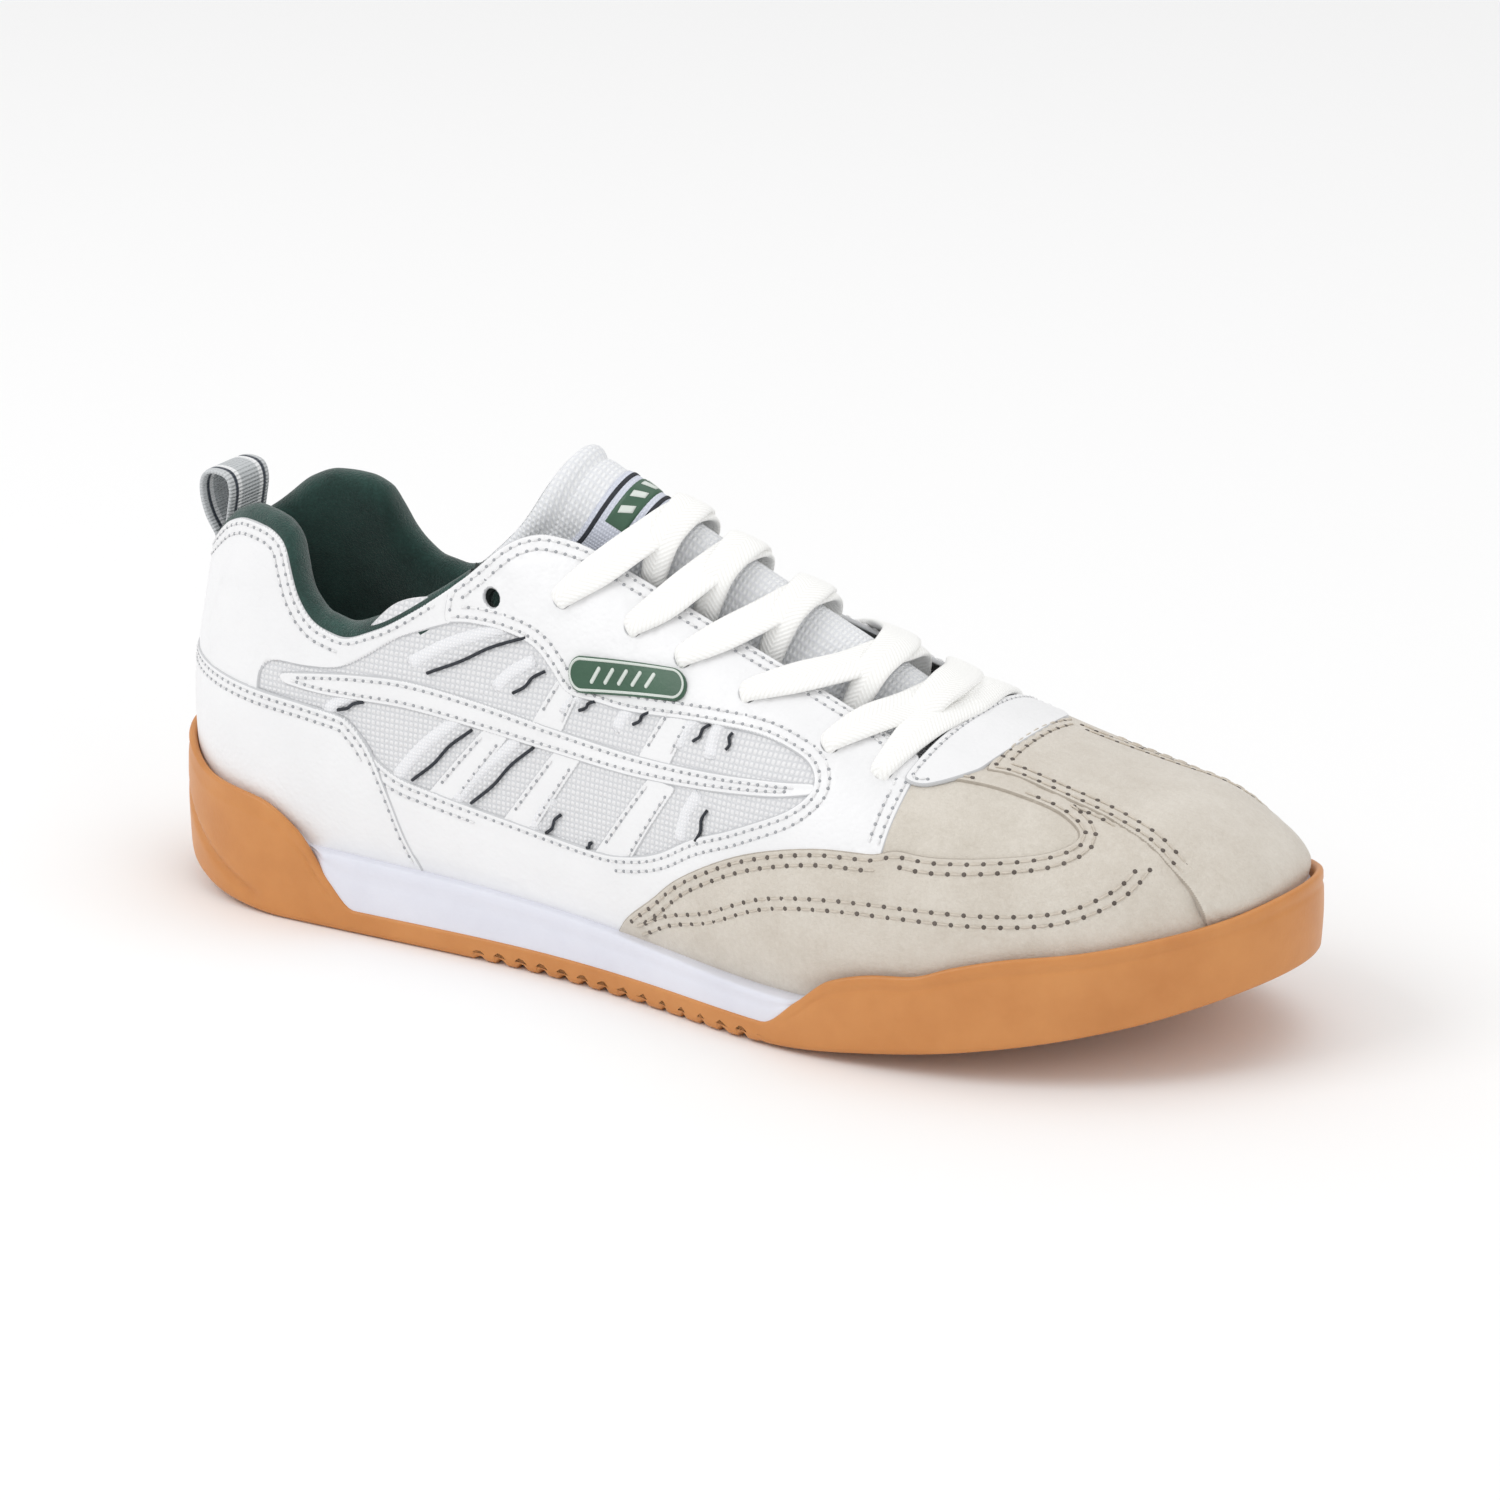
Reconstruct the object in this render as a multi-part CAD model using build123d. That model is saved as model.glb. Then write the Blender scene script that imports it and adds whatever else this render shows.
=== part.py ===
"""Court shoe for the right foot, in millimetres.

+X points to the toe, +Y to the inner side of the foot and +Z up. The origin lies on the ground,
under the middle of the outsole. The upper's outside is one skin, and every panel, stiffener and
lining is a closed solid between two depths below that skin. A place on the skin is (q, s): q runs
from 0 at the heel to 1 at the toe, and s runs from -1 at the outer feather edge over 0 at the
ridge to 1 at the inner feather edge. Its height fraction is v = 1 - abs(s).
"""
from build123d import *
import os
import numpy as np

# Driving sizes
SHOE_LENGTH = 300.0
HEEL_X = -146.0
TOE_X = 146.5
HEEL_ROUND = 42.0
TOE_ROUND = 72.0
TOE_DROP = 30.0
ROUND_POWER = 2.3

# Depths of the layers below the skin
OVERLAY = (0.0, 1.2)
RIB = (1.3, 1.75)
BASE = (1.85, 2.75)
STIFFENER = (2.9, 4.0)
LINING = (4.2, 5.1)
COLLAR_FOAM = (4.2, 8.0)
COLLAR_PILE = (8.2, 9.4)
GAP = 0.1

# Sole stack
GUM_FLOOR = 4.2
GUM_RIM = 1.8
MIDSOLE_SET_BACK = 0.6
BOARD_THICKNESS = 1.5
SOCKLINER_THICKNESS = 4.0
BOARD_INSET = 6.4
GROOVE_DEPTH = 1.6
GROOVE_WIDTH = 2.6
SERRATION_DEPTH = 2.0

# Laces and eyelets
EYELETS = ((-50, 0.59), (-32, 0.66), (-12, 0.68), (3, 0.67), (22, 0.67), (46, 0.66), (60, 0.66))
EYELET_RADIUS = 2.2
LACE_WIDTH = 7.5
LACE_PINCHED = 3.2
LACE_THICKNESS = 1.2
AGLET_LENGTH = 20.0
AGLET_RADIUS = 1.4

# Tongue
TONGUE_BACK = -41.0
TONGUE_ARCH = 16.0
TONGUE_ROOT = 65.5
TONGUE_TUCK = 7.9
TONGUE_SKIN = 0.9
TONGUE_FOAM = 4.6

# Pull loop
LOOP_WIDTH = 17.0
LOOP_HEIGHT = 16.5
LOOP_DEPTH = 10.0
LOOP_THICKNESS = 1.4
LOOP_TILT = 6.0
LOOP_FOOT = (-140.2, 85.2)


def smooth(*points):
    """Natural cubic spline y(x) through the points, held level beyond its ends."""
    x, y = np.array(points, float).T
    n = len(x)
    h = np.diff(x)
    a = np.eye(n)
    b = np.zeros(n)
    for i in range(1, n - 1):
        a[i, i - 1:i + 2] = h[i - 1], 2 * (h[i - 1] + h[i]), h[i]
        b[i] = 6 * ((y[i + 1] - y[i]) / h[i] - (y[i] - y[i - 1]) / h[i - 1])
    m = np.linalg.solve(a, b)

    def curve(at):
        at = np.clip(np.asarray(at, float), x[0], x[-1])
        i = np.clip(np.searchsorted(x, at) - 1, 0, n - 2)
        left = at - x[i]
        right = x[i + 1] - at
        bend = (m[i] * right**3 + m[i + 1] * left**3) / (6 * h[i])
        start = (y[i] / h[i] - m[i] * h[i] / 6) * right
        return bend + start + (y[i + 1] / h[i] - m[i + 1] * h[i] / 6) * left

    return curve


def steady(*points):
    """Monotone cubic curve y(x): it never swings past its points."""
    x, y = np.array(points, float).T
    h = np.diff(x)
    rise = np.diff(y) / h
    slope = np.zeros(len(x))
    slope[0] = rise[0]
    slope[-1] = rise[-1]
    for i in range(1, len(x) - 1):
        if rise[i - 1] * rise[i] > 0:
            w1 = 2 * h[i] + h[i - 1]
            w2 = h[i] + 2 * h[i - 1]
            slope[i] = (w1 + w2) / (w1 / rise[i - 1] + w2 / rise[i])

    def curve(at):
        at = np.clip(np.asarray(at, float), x[0], x[-1])
        i = np.clip(np.searchsorted(x, at) - 1, 0, len(x) - 2)
        t = (at - x[i]) / h[i]
        start = y[i] * (1 + 2 * t) * (1 - t)**2 + y[i + 1] * t**2 * (3 - 2 * t)
        return start + h[i] * (slope[i] * t * (1 - t)**2 + slope[i + 1] * t**2 * (t - 1))

    return curve


def ease(x, start, end):
    """Smooth step from 0 at start to 1 at end."""
    t = np.clip((x - start) / (end - start), 0, 1)
    return t * t * (3 - 2 * t)


# Shape of the upper: half widths, middle line, lower edge, virtual ridge and the curve of the heel
HALF_OUTER = smooth((-150, 33), (-110, 35), (-70, 36), (-30, 38), (10, 44), (45, 50), (80, 50.5), (110, 48),
                    (150, 44))
HALF_INNER = smooth((-150, 33), (-110, 34), (-70, 32.5), (-30, 30.5), (10, 36), (45, 44.5), (80, 48),
                    (110, 46), (150, 42))
MIDLINE = smooth((-150, 0.55), (-60, 0.55), (0, 0.55), (60, 0.55), (110, 4.55), (150, 8.55))
FEATHER = smooth((-150, 21), (-110, 19), (-60, 17.5), (0, 14), (50, 12), (90, 15), (120, 20), (150, 27))
RIDGE = smooth((-150, 150), (-110, 142), (-75, 128), (-40, 112), (0, 96), (30, 85), (60, 74), (90, 65.5),
               (115, 60), (150, 55))
HEEL_CURVE = smooth((0, 1), (20, 0), (45, -2), (70, 0), (100, 5), (150, 14))

# Cross sections of the upper: four control points each, as shares of the half width and of the height
FRONT_SECTION = ((0.93, 0.0), (1.07, 0.30), (1.02, 0.86), (0.55, 1.0), (0.0, 1.0))
REAR_SECTION = ((0.93, 0.0), (1.12, 0.25), (0.88, 0.62), (0.62, 1.0), (0.0, 1.0))
HEEL_SECTION = ((0.93, 0.0), (1.12, 0.25), (0.74, 0.62), (0.42, 1.0), (0.0, 1.0))

# Shape of the sole: half widths, underside and top of the gum wall
SOLE_OUTER = smooth((-150, 35), (-110, 37), (-70, 37.5), (-30, 39), (10, 45.5), (45, 52.5), (80, 53),
                    (110, 50.5), (150, 46))
SOLE_INNER = smooth((-150, 35), (-110, 36), (-70, 34.5), (-30, 32), (10, 38), (45, 47), (80, 51), (110, 49),
                    (150, 45))
FLAT_BACK = -105.0
FLAT_FRONT = 20.0
UNDERSIDE = steady((-150, 12), (-138, 5), (-120, 1.2), (FLAT_BACK, 0), (-50, 0), (FLAT_FRONT, 0), (40, 0.6),
                   (70, 4), (100, 9), (125, 14.5), (150, 22))
GUM_TOP = steady((-150, 38), (-143, 36), (-130, 32), (-112, 30), (-101, 24), (-92, 13), (-84, 6), (38, 6),
                 (48, 13), (57, 20), (68, 23.3), (78, 24.5), (88, 28), (100, 31), (115, 33), (130, 36),
                 (142, 39), (150, 42))

# Edges of the panels as height fractions v along x
RIM = steady((-146, 0.40), (-141, 0.43), (-134, 0.475), (-127, 0.495), (-118, 0.50), (-112, 0.49),
             (-109, 0.465), (-106, 0.435), (-102, 0.41), (-97, 0.395), (-91, 0.395), (-81, 0.43),
             (-71, 0.49), (-58, 0.60), (-47, 0.73), (-40, 0.78), (-27, 0.81), (16, 0.80), (46, 0.79),
             (67, 0.75))
FOXING_TOP = 0.26
FOXING_FRONT = steady((0.0, -66.5), (0.08, -71.5), (0.15, -75.5), (0.23, -80.5), (0.26, -86.5))
WINDOW_TOP = steady((-86, 0.40), (-81, 0.42), (-71, 0.475), (-60, 0.495), (-45, 0.535), (-36, 0.53),
                    (-26, 0.475), (-6, 0.495), (14, 0.545), (29, 0.58), (38, 0.585))
WINDOW_BOTTOM = steady((-86, 0.27), (-77, 0.215), (-70, 0.20), (-27, 0.19), (-12, 0.195), (0, 0.215),
                       (15, 0.30), (27, 0.36), (45, 0.47))
EYESTAY_BOTTOM = steady((-62, 0.505), (-45, 0.545), (-36, 0.54), (-26, 0.485), (-6, 0.505), (14, 0.555),
                        (29, 0.59), (38, 0.595), (50, 0.42), (60, 0.44), (67, 0.455))
MUDGUARD_TOP = steady((-9, 0.015), (3, 0.13), (11, 0.20), (24, 0.28), (36, 0.34), (51, 0.40), (66, 0.44),
                      (80, 0.785), (97, 0.785), (108, 0.755), (115, 0.715), (122, 0.655), (127, 0.585),
                      (132, 0.50), (136, 0.33))
MESH_TOP = steady((-85, 0.38), (-70, 0.45), (-45, 0.54), (-30, 0.58), (66, 0.59))
EYELET_LINE = steady(*EYELETS)
TAPE_HALF = 0.045
SEAM = 0.006

# Half reach of the pieces that cross the ridge, in s along x
TOE_CAP_HALF = steady((80, 0.205), (97, 0.205), (108, 0.235), (115, 0.275), (122, 0.335), (127, 0.405),
                      (132, 0.49), (136, 0.66), (140, 0.93), (143, 0.95))
BRIDGE_HALF = steady((67, 0.29), (80, 0.205))
TONGUE_HALF = steady((-57, 0.37), (-50, 0.36), (-30, 0.36), (20, 0.39), (50, 0.40), (65.5, 0.34))
TONGUE_REACH = steady((-56, 0.32), (-44, 0.26), (-34, 0.19), (66, 0.19))
TONGUE_CREST = steady((-50, -9.0), (-40, -8.6), (-17, -7.0), (20, -4.2), (45, -2.2), (65.5, 1.0))

# Openings of the side cage (back, front, low and high edge), its slant, and the foot of each rib
CAGE_SLANT = 7.0
CAGE_WINDOWS = (
    (-79, -70, 0.36, 0.41), (-66, -48, 0.375, 0.455), (-44, -34, 0.385, 0.475), (-30, -14, 0.385, 0.44),
    (-10, 8, 0.40, 0.465), (-72, -56, 0.225, 0.315), (-52, -36, 0.22, 0.325), (-32, -16, 0.22, 0.335),
    (-12, 4, 0.24, 0.345), (12, 22, 0.375, 0.50),
)
RIB_FEET = (-74, -58, -42, -26, -10, 6, 20)
RIB_WIDTH = 1.6
RIB_SLANT = 10.0

# Places along x where the pieces end
MUDGUARD_BACK = -9.0
TOE_SEAM = 136.0
EYESTAY_BACK = -62.0
THROAT_END = 67.0
LABEL_SPAN = (-31.5, -23.0)
BADGE_PLACE = (-9.5, 0.565)
BADGE_SIZE = (32.0, 7.6)
BADGE_TILT = 16.0
OVAL_PLACE = (89.0, 0.625)
OVAL_SIZE = (18.0, 8.6)


def along(q):
    """x at the length fraction q."""
    return HEEL_X + (TOE_X - HEEL_X) * (1 - np.cos(np.pi * q)) / 2


def station(x):
    """Length fraction q at x."""
    return np.arccos(1 - 2 * (x - HEEL_X) / (TOE_X - HEEL_X)) / np.pi


def rounding(distance, reach):
    """Factor that closes a plan outline towards an end, 0 at the end and 1 from reach on."""
    return (1 - (1 - np.clip(distance / reach, 0, 1))**ROUND_POWER)**0.5


def skin_point(q, s):
    """Point of the upper's outside."""
    x = along(q)
    v = 1 - np.abs(s)
    half = np.where(s < 0, -HALF_OUTER(x), HALF_INNER(x))
    half = half * rounding(x - HEEL_X, HEEL_ROUND) * rounding(TOE_X - x, TOE_ROUND) * np.sign(q)
    height = (RIDGE(x) - FEATHER(x)) * rounding(TOE_X - x, TOE_DROP)
    front = ease(x, -60, 60)
    heel = 1 - ease(x, -125, -75)
    y = MIDLINE(x)
    z = FEATHER(x)
    weights = ((1 - v)**4, 4 * v * (1 - v)**3, 6 * v**2 * (1 - v)**2, 4 * v**3 * (1 - v), v**4)
    for weight, ahead, middle, behind in zip(weights, FRONT_SECTION, REAR_SECTION, HEEL_SECTION):
        y = y + weight * half * (ahead[0] * front + middle[0] * (1 - front - heel) + behind[0] * heel)
        z = z + weight * height * (ahead[1] * front + middle[1] * (1 - front - heel) + behind[1] * heel)
    x = x + HEEL_CURVE(z) * (1 - ease(x, HEEL_X, -70))
    return np.stack(np.broadcast_arrays(x, y, z), -1)


def skin_frame(q, s):
    """Point, lengthwise direction and outward normal of the skin."""
    q = np.asarray(q, float)
    s = np.asarray(s, float)
    step = 1e-3
    lengthwise = skin_point(q + step, s) - skin_point(q - step, s)
    lengthwise /= np.linalg.norm(lengthwise, axis=-1)[..., None]
    upper = np.where(s < 0, 0, step)
    across = skin_point(q, s + upper) - skin_point(q, s + upper - step)
    normal = np.cross(lengthwise, across)
    normal /= np.linalg.norm(normal, axis=-1)[..., None]
    return skin_point(q, s), lengthwise, normal


def below(q, s, depth):
    """Point at a depth below the skin."""
    point, _, normal = skin_frame(q, s)
    return point - normal * np.asarray(depth, float)[..., None]


def vector(point):
    return Vector(*[float(value) for value in point])


def six_faces(front, back):
    """Closed solid between two four-sided faces."""
    sides = []
    for edge in front.edges():
        middle = edge @ 0.5
        mate = min(back.edges(), key=lambda other: (other @ 0.5 - middle).length)
        sides.append(Face.make_surface_from_curves(edge, mate))
    solid = Solid(Shell([front, back] + sides))
    return solid if solid.volume > 0 else Solid(solid.wrapped.Reversed())


def layer(q, s, depths):
    """Solid between two depths over a grid of places on the skin."""
    faces = []
    for depth in depths:
        grid = below(q, s, depth * np.ones_like(q))
        rows = [[vector(point) for point in row] for row in grid]
        faces.append(Face.make_surface_from_array_of_points(rows, tol=0.02))
    return six_faces(*faces)


def grid(columns, rows):
    """Two grids of fractions, 0 to 1, along and across."""
    a = np.linspace(0, 1, columns)[:, None] * np.ones((1, rows))
    b = np.ones((columns, 1)) * np.linspace(0, 1, rows)[None, :]
    return a, b


def side_panel(side, back, front, low, high, depths, columns=20, rows=8):
    """Panel on one side, side -1 outer or 1 inner; back may be a curve of the height fraction."""
    a, b = grid(columns, rows)
    start = back(0.2 * b) if callable(back) else back
    q = station(start) + a * (station(front) - station(start))
    x = along(q)
    lower = low(x) if callable(low) else low
    upper = high(x) if callable(high) else high
    v = lower + b * (upper - lower)
    return layer(q, side * (1 - v), depths)


def heel_band(front, low, high, depths, columns=31, rows=9):
    """Panel that wraps the heel from side to side; front may be a curve of the height fraction."""
    a, b = grid(columns, rows)
    turn = 2 * a - 1
    reach = front(b * (high if not callable(high) else 1)) if callable(front) else front
    q = np.abs(turn) * station(reach) + 1e-9
    x = along(q)
    upper = high(x) if callable(high) else high
    v = low + b * (upper - low)
    shape = depths(v, upper) if callable(depths) else depths
    return layer(q, np.where(turn < 0, -1, 1) * (1 - v), shape)


def saddle(back, front, half, depths, columns=20, rows=15):
    """Panel that crosses the ridge; half is its reach in s at each x."""
    a, b = grid(columns, rows)
    q = station(back) + a * (station(front) - station(back))
    reach = half(along(q)) if callable(half) else half
    s = reach * (2 * b - 1)
    shape = depths(along(q), s) if callable(depths) else depths
    return layer(q, s, shape)


def shifted(curve, amount):
    return lambda x: curve(x) + amount


def eyelet_cutters(side):
    """Cylinders that pierce every layer at one side's eyelets."""
    cutters = []
    for x, v in EYELETS:
        point, lengthwise, normal = skin_frame(station(x), side * (1 - v))
        plane = Plane(origin=vector(point - 4 * normal), x_dir=vector(lengthwise), z_dir=vector(normal))
        cutters.append(plane * Cylinder(EYELET_RADIUS, 16))
    return cutters


def window_cutters(side):
    """Slanted prisms that open the side cage over the mesh."""
    cutters = []
    for x0, x1, low, high in CAGE_WINDOWS:
        corners = []
        for x, v in ((x0, low), (x1, low), (x1 + CAGE_SLANT, high), (x0 + CAGE_SLANT, high)):
            x_at, _, z_at = skin_point(station(x), side * (1 - v))
            corners.append((float(x_at), float(z_at)))
        face = make_face(Polyline(*corners, close=True))
        block = extrude(Plane.XZ * face, amount=60, both=True)
        keep = Pos(0, side * 40, 60) * Box(400, 70, 200)
        cutters.append(block & keep)
    return cutters


# ---------------------------------------------------------------- sole


def sole_outline(x, side):
    half = SOLE_OUTER(x) if side < 0 else SOLE_INNER(x)
    end = SHOE_LENGTH / 2
    return MIDLINE(x) + side * half * rounding(x + end, 44.0) * rounding(end - x, TOE_ROUND)


def feather_outline(x, side):
    half = HALF_OUTER(x) if side < 0 else HALF_INNER(x)
    return MIDLINE(x) + side * 0.93 * half * rounding(x - HEEL_X, HEEL_ROUND) * rounding(TOE_X - x, TOE_ROUND)


def plan_face(outline, back, front, inset=0.0):
    """Flat face inside an outline, on the ground."""
    turn = np.linspace(0, 2 * np.pi, 49)[:-1] + np.pi / 4
    step = 1e-3
    rings = []
    for angle in (turn - step, turn, turn + step):
        x = (back + front) / 2 - (front - back) / 2 * np.cos(angle)
        side = np.where(np.sin(angle) >= 0, -1, 1)
        rings.append(np.array([(a, float(outline(a, b))) for a, b in zip(x, side)]))
    run = rings[2] - rings[0]
    run /= np.linalg.norm(run, axis=1)[:, None]
    points = rings[1] + inset * np.stack([-run[:, 1], run[:, 0]], -1)
    loop = Spline(*[(float(a), float(b)) for a, b in points], periodic=True)
    return make_face([loop.trim(0.25 * k, 0.25 * k + 0.25) for k in range(4)])


def height_line(height, back, front, samples):
    """Spline along x at a height that varies."""
    return Spline(*[(float(a), float(height(a))) for a in np.linspace(back, front, samples)])


def lengthwise_block(low, high, back=-152.0, front=152.0, flat=False):
    """Block across the shoe between two heights that vary along x; flat keeps the ground contact plane."""
    top = height_line(high, back, front, 61)
    if flat:
        heel = height_line(low, back, FLAT_BACK, 15)
        toe = height_line(low, FLAT_FRONT, front, 31)
        bottom = [heel, Line(heel @ 1, toe @ 0), toe]
    else:
        bottom = [height_line(low, back, front, 61)]
    ends = [Line(bottom[0] @ 0, top @ 0), Line(bottom[-1] @ 1, top @ 1)]
    face = make_face(bottom + [top] + ends)
    return extrude(Plane.XZ * face, amount=70, both=True)


def level(height):
    return lambda x: np.full_like(np.asarray(x, float), height)


def prism(face):
    return Pos(0, 0, -5) * extrude(face, amount=70, dir=(0, 0, 1))


def outsole():
    """Gum cup sole: floor, wall with a wavy top, and tread grooves."""
    outer = plan_face(sole_outline, -SHOE_LENGTH / 2, SHOE_LENGTH / 2)
    inner = plan_face(sole_outline, -SHOE_LENGTH / 2, SHOE_LENGTH / 2, GUM_RIM)
    cup = prism(outer) & lengthwise_block(UNDERSIDE, GUM_TOP, flat=True)
    cup = cup - (prism(inner) & lengthwise_block(shifted(UNDERSIDE, GUM_FLOOR), level(60.0), flat=True))
    grooves = []
    for x in list(range(-128, -84, 9)) + list(range(50, 132, 9)):
        z = float(UNDERSIDE(x))
        grooves.append(Pos(x, 0, z) * Box(GROOVE_WIDTH, 200, 2 * GROOVE_DEPTH))
    for x in range(-48, 40, 8):
        for side in (-1, 1):
            y = float(sole_outline(x, side))
            grooves.append(Pos(x, y, 0) * Box(3.2, 12, 2 * SERRATION_DEPTH))
    return cup - grooves


def midsole():
    """Foam wedge inside the cup, flush with the sole's side at the arch."""
    inner = plan_face(sole_outline, -SHOE_LENGTH / 2, SHOE_LENGTH / 2, GUM_RIM + GAP)
    flush = plan_face(sole_outline, -SHOE_LENGTH / 2, SHOE_LENGTH / 2, MIDSOLE_SET_BACK)
    top = shifted(FEATHER, -2 * GAP)
    core = prism(inner) & lengthwise_block(shifted(UNDERSIDE, GUM_FLOOR + GAP), top, flat=True)
    arch = prism(flush) & lengthwise_block(shifted(GUM_TOP, GAP), top, -92.5, 48.0)
    return core + arch


def board(height, thickness, inset):
    """Flat sheet that follows the foot bed."""
    face = plan_face(feather_outline, HEEL_X, TOE_X, inset)
    return prism(face) & lengthwise_block(shifted(FEATHER, height), shifted(FEATHER, height + thickness))


# ---------------------------------------------------------------- collar, tongue and lace


def pile_depths(v, rim):
    """The pile lies on the foam and rolls over the collar's rim."""
    outer = 4.4 + (COLLAR_PILE[0] - 4.4) * ease(v, 0.08, 0.19)
    outer = outer - (COLLAR_PILE[0] - 1.8) * ease(v, rim - 0.07, rim)
    return outer, np.full_like(v, COLLAR_PILE[1])


def tongue_depth(x, s):
    """Depth of the tongue's top face: raised between the eyestays, tucked under them at its sides."""
    crest = TONGUE_CREST(x)
    return crest + (TONGUE_TUCK - crest) * ease(np.abs(s), 0.0, TONGUE_REACH(x))


def tongue_layers(s):
    """Depths of the layers' borders below the tongue's top face."""
    filling = TONGUE_FOAM - 2.4 * ease(np.abs(s), 0.1, 0.36)
    return (0.0 * s, TONGUE_SKIN + 0.0 * s, TONGUE_SKIN + filling, 2 * TONGUE_SKIN + filling)


def tongue_layer(index):
    """One of the tongue's three layers, from the top face down; its top end is arched."""
    a, b = grid(24, 25)
    s_share = 2 * b - 1
    back = TONGUE_BACK - TONGUE_ARCH * s_share**2
    q = station(back) + a * (station(TONGUE_ROOT) - station(back))
    x = along(q)
    s = TONGUE_HALF(x) * s_share
    borders = tongue_layers(s)
    top = tongue_depth(x, s)
    return layer(q, s, (top + borders[index], top + borders[index + 1]))


def label_depths(x, s):
    top = tongue_depth(x, s) - 1.1
    return top, top + 0.7


def pull_loop():
    """Webbing loop: both plies meet at the foot and part round a finger gap."""
    x, z = LOOP_FOOT
    half = LOOP_DEPTH / 2
    outer = Spline((x - 1.5, z), (x - half, z + 0.55 * LOOP_HEIGHT), (x, z + LOOP_HEIGHT),
                   (x + half, z + 0.55 * LOOP_HEIGHT), (x + 1.5, z), tangents=[(-0.1, 1), (-0.1, -1)])
    face = make_face([outer, Line(outer @ 0, outer @ 1)])
    gap = Ellipse(half - LOOP_THICKNESS, 0.42 * LOOP_HEIGHT - LOOP_THICKNESS)
    hole = Pos(x, z + 0.57 * LOOP_HEIGHT) * gap
    loop = extrude(Plane.XZ * (face - hole), amount=LOOP_WIDTH / 2, both=True)
    return Pos(0, float(MIDLINE(x)), 0) * loop.rotate(Axis((x, 0, z), (0, 1, 0)), -LOOP_TILT)


def place(x, s, depth):
    """Point, and the skin's outward normal there."""
    point, _, normal = skin_frame(station(x), s)
    return point - depth * normal, normal


def lace_half(side, over):
    """Frames (point, normal, width) from the middle of the bottom bar to one tucked end."""
    frames = [place(64, side * 0.02, -1.2) + (LACE_WIDTH,)]
    frames.append(place(62, side * 0.16, -1.2) + (LACE_WIDTH,))
    here = side
    for index in range(len(EYELETS) - 1, 0, -1):
        x, v = EYELETS[index]
        s = here * (1 - v)
        frames.append(place(x, s, -0.7) + (LACE_PINCHED + 0.8,))
        frames.append(place(x, s, 2.6) + (LACE_PINCHED,))
        if index == 1:
            break
        frames.append(place(x - 0.4, s * 0.985, 5.3) + (LACE_PINCHED,))
        frames.append(place(x - 0.6, s * 0.93, 6.1) + (LACE_PINCHED + 0.4,))
        span = EYELETS[index - 1][0] - x
        crest = float(TONGUE_CREST(x + 0.25 * span)) - 1.3
        crest = crest - 1.7 if over == (index % 2 == 0) else crest
        crossing = ((0.08, 0.240, 6.2, LACE_PINCHED + 1.0), (0.12, 0.190, 5.6, LACE_PINCHED + 1.2),
                    (0.17, 0.105, 0.62 * crest, LACE_WIDTH - 2.0), (0.26, 0.0, crest, LACE_WIDTH),
                    (0.48, -0.12, 0.66 * crest, LACE_WIDTH), (0.76, -0.235, -1.3, LACE_WIDTH - 1.0))
        for share, s, depth, width in crossing:
            frames.append(place(x + share * span, here * s, depth) + (width,))
        here = -here
    for x, v, depth in ((-31.5, 0.658, 4.8), (-29, 0.635, 6.0), (-24, 0.60, 6.4), (-14, 0.565, 7.2),
                        (4, 0.55, 7.6), (22, 0.55, 7.6)):
        frames.append(place(x, here * (1 - v), depth) + (LACE_PINCHED - 0.4,))
    return frames


def ribbon(frames):
    """Flat lace as one solid with four long sides."""
    points = np.array([frame[0] for frame in frames])
    normals = np.array([frame[1] for frame in frames])
    widths = np.array([frame[2] for frame in frames])[:, None]
    tangents = np.gradient(points, axis=0)
    tangents /= np.linalg.norm(tangents, axis=1)[:, None]
    flats = []
    for i in range(len(points)):
        ahead = points[min(i + 2, len(points) - 1)] - points[max(i - 2, 0)]
        flat = np.cross(normals[i], ahead)
        flats.append(flat / np.linalg.norm(flat))
    flats = np.array(flats)
    flats -= (flats * tangents).sum(1)[:, None] * tangents
    flats /= np.linalg.norm(flats, axis=1)[:, None]
    lifts = np.cross(tangents, flats)
    rails = []
    for across, up in ((-1, -1), (1, -1), (1, 1), (-1, 1)):
        rail = points + across * widths / 2 * flats + up * LACE_THICKNESS / 2 * lifts
        rails.append(Edge.make_spline([vector(point) for point in rail]))
    faces = [Face.make_surface_from_curves(rails[i], rails[(i + 1) % 4]) for i in range(4)]
    for end in (0, 1):
        corners = [rail @ end for rail in rails]
        faces.append(Face(Wire([Edge.make_line(corners[i], corners[(i + 1) % 4]) for i in range(4)])))
    return Solid(Shell(faces))


# ---------------------------------------------------------------- parts


def both_sides(name, build):
    return {f"{name}_outer": build(-1), f"{name}_inner": build(1)}


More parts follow.
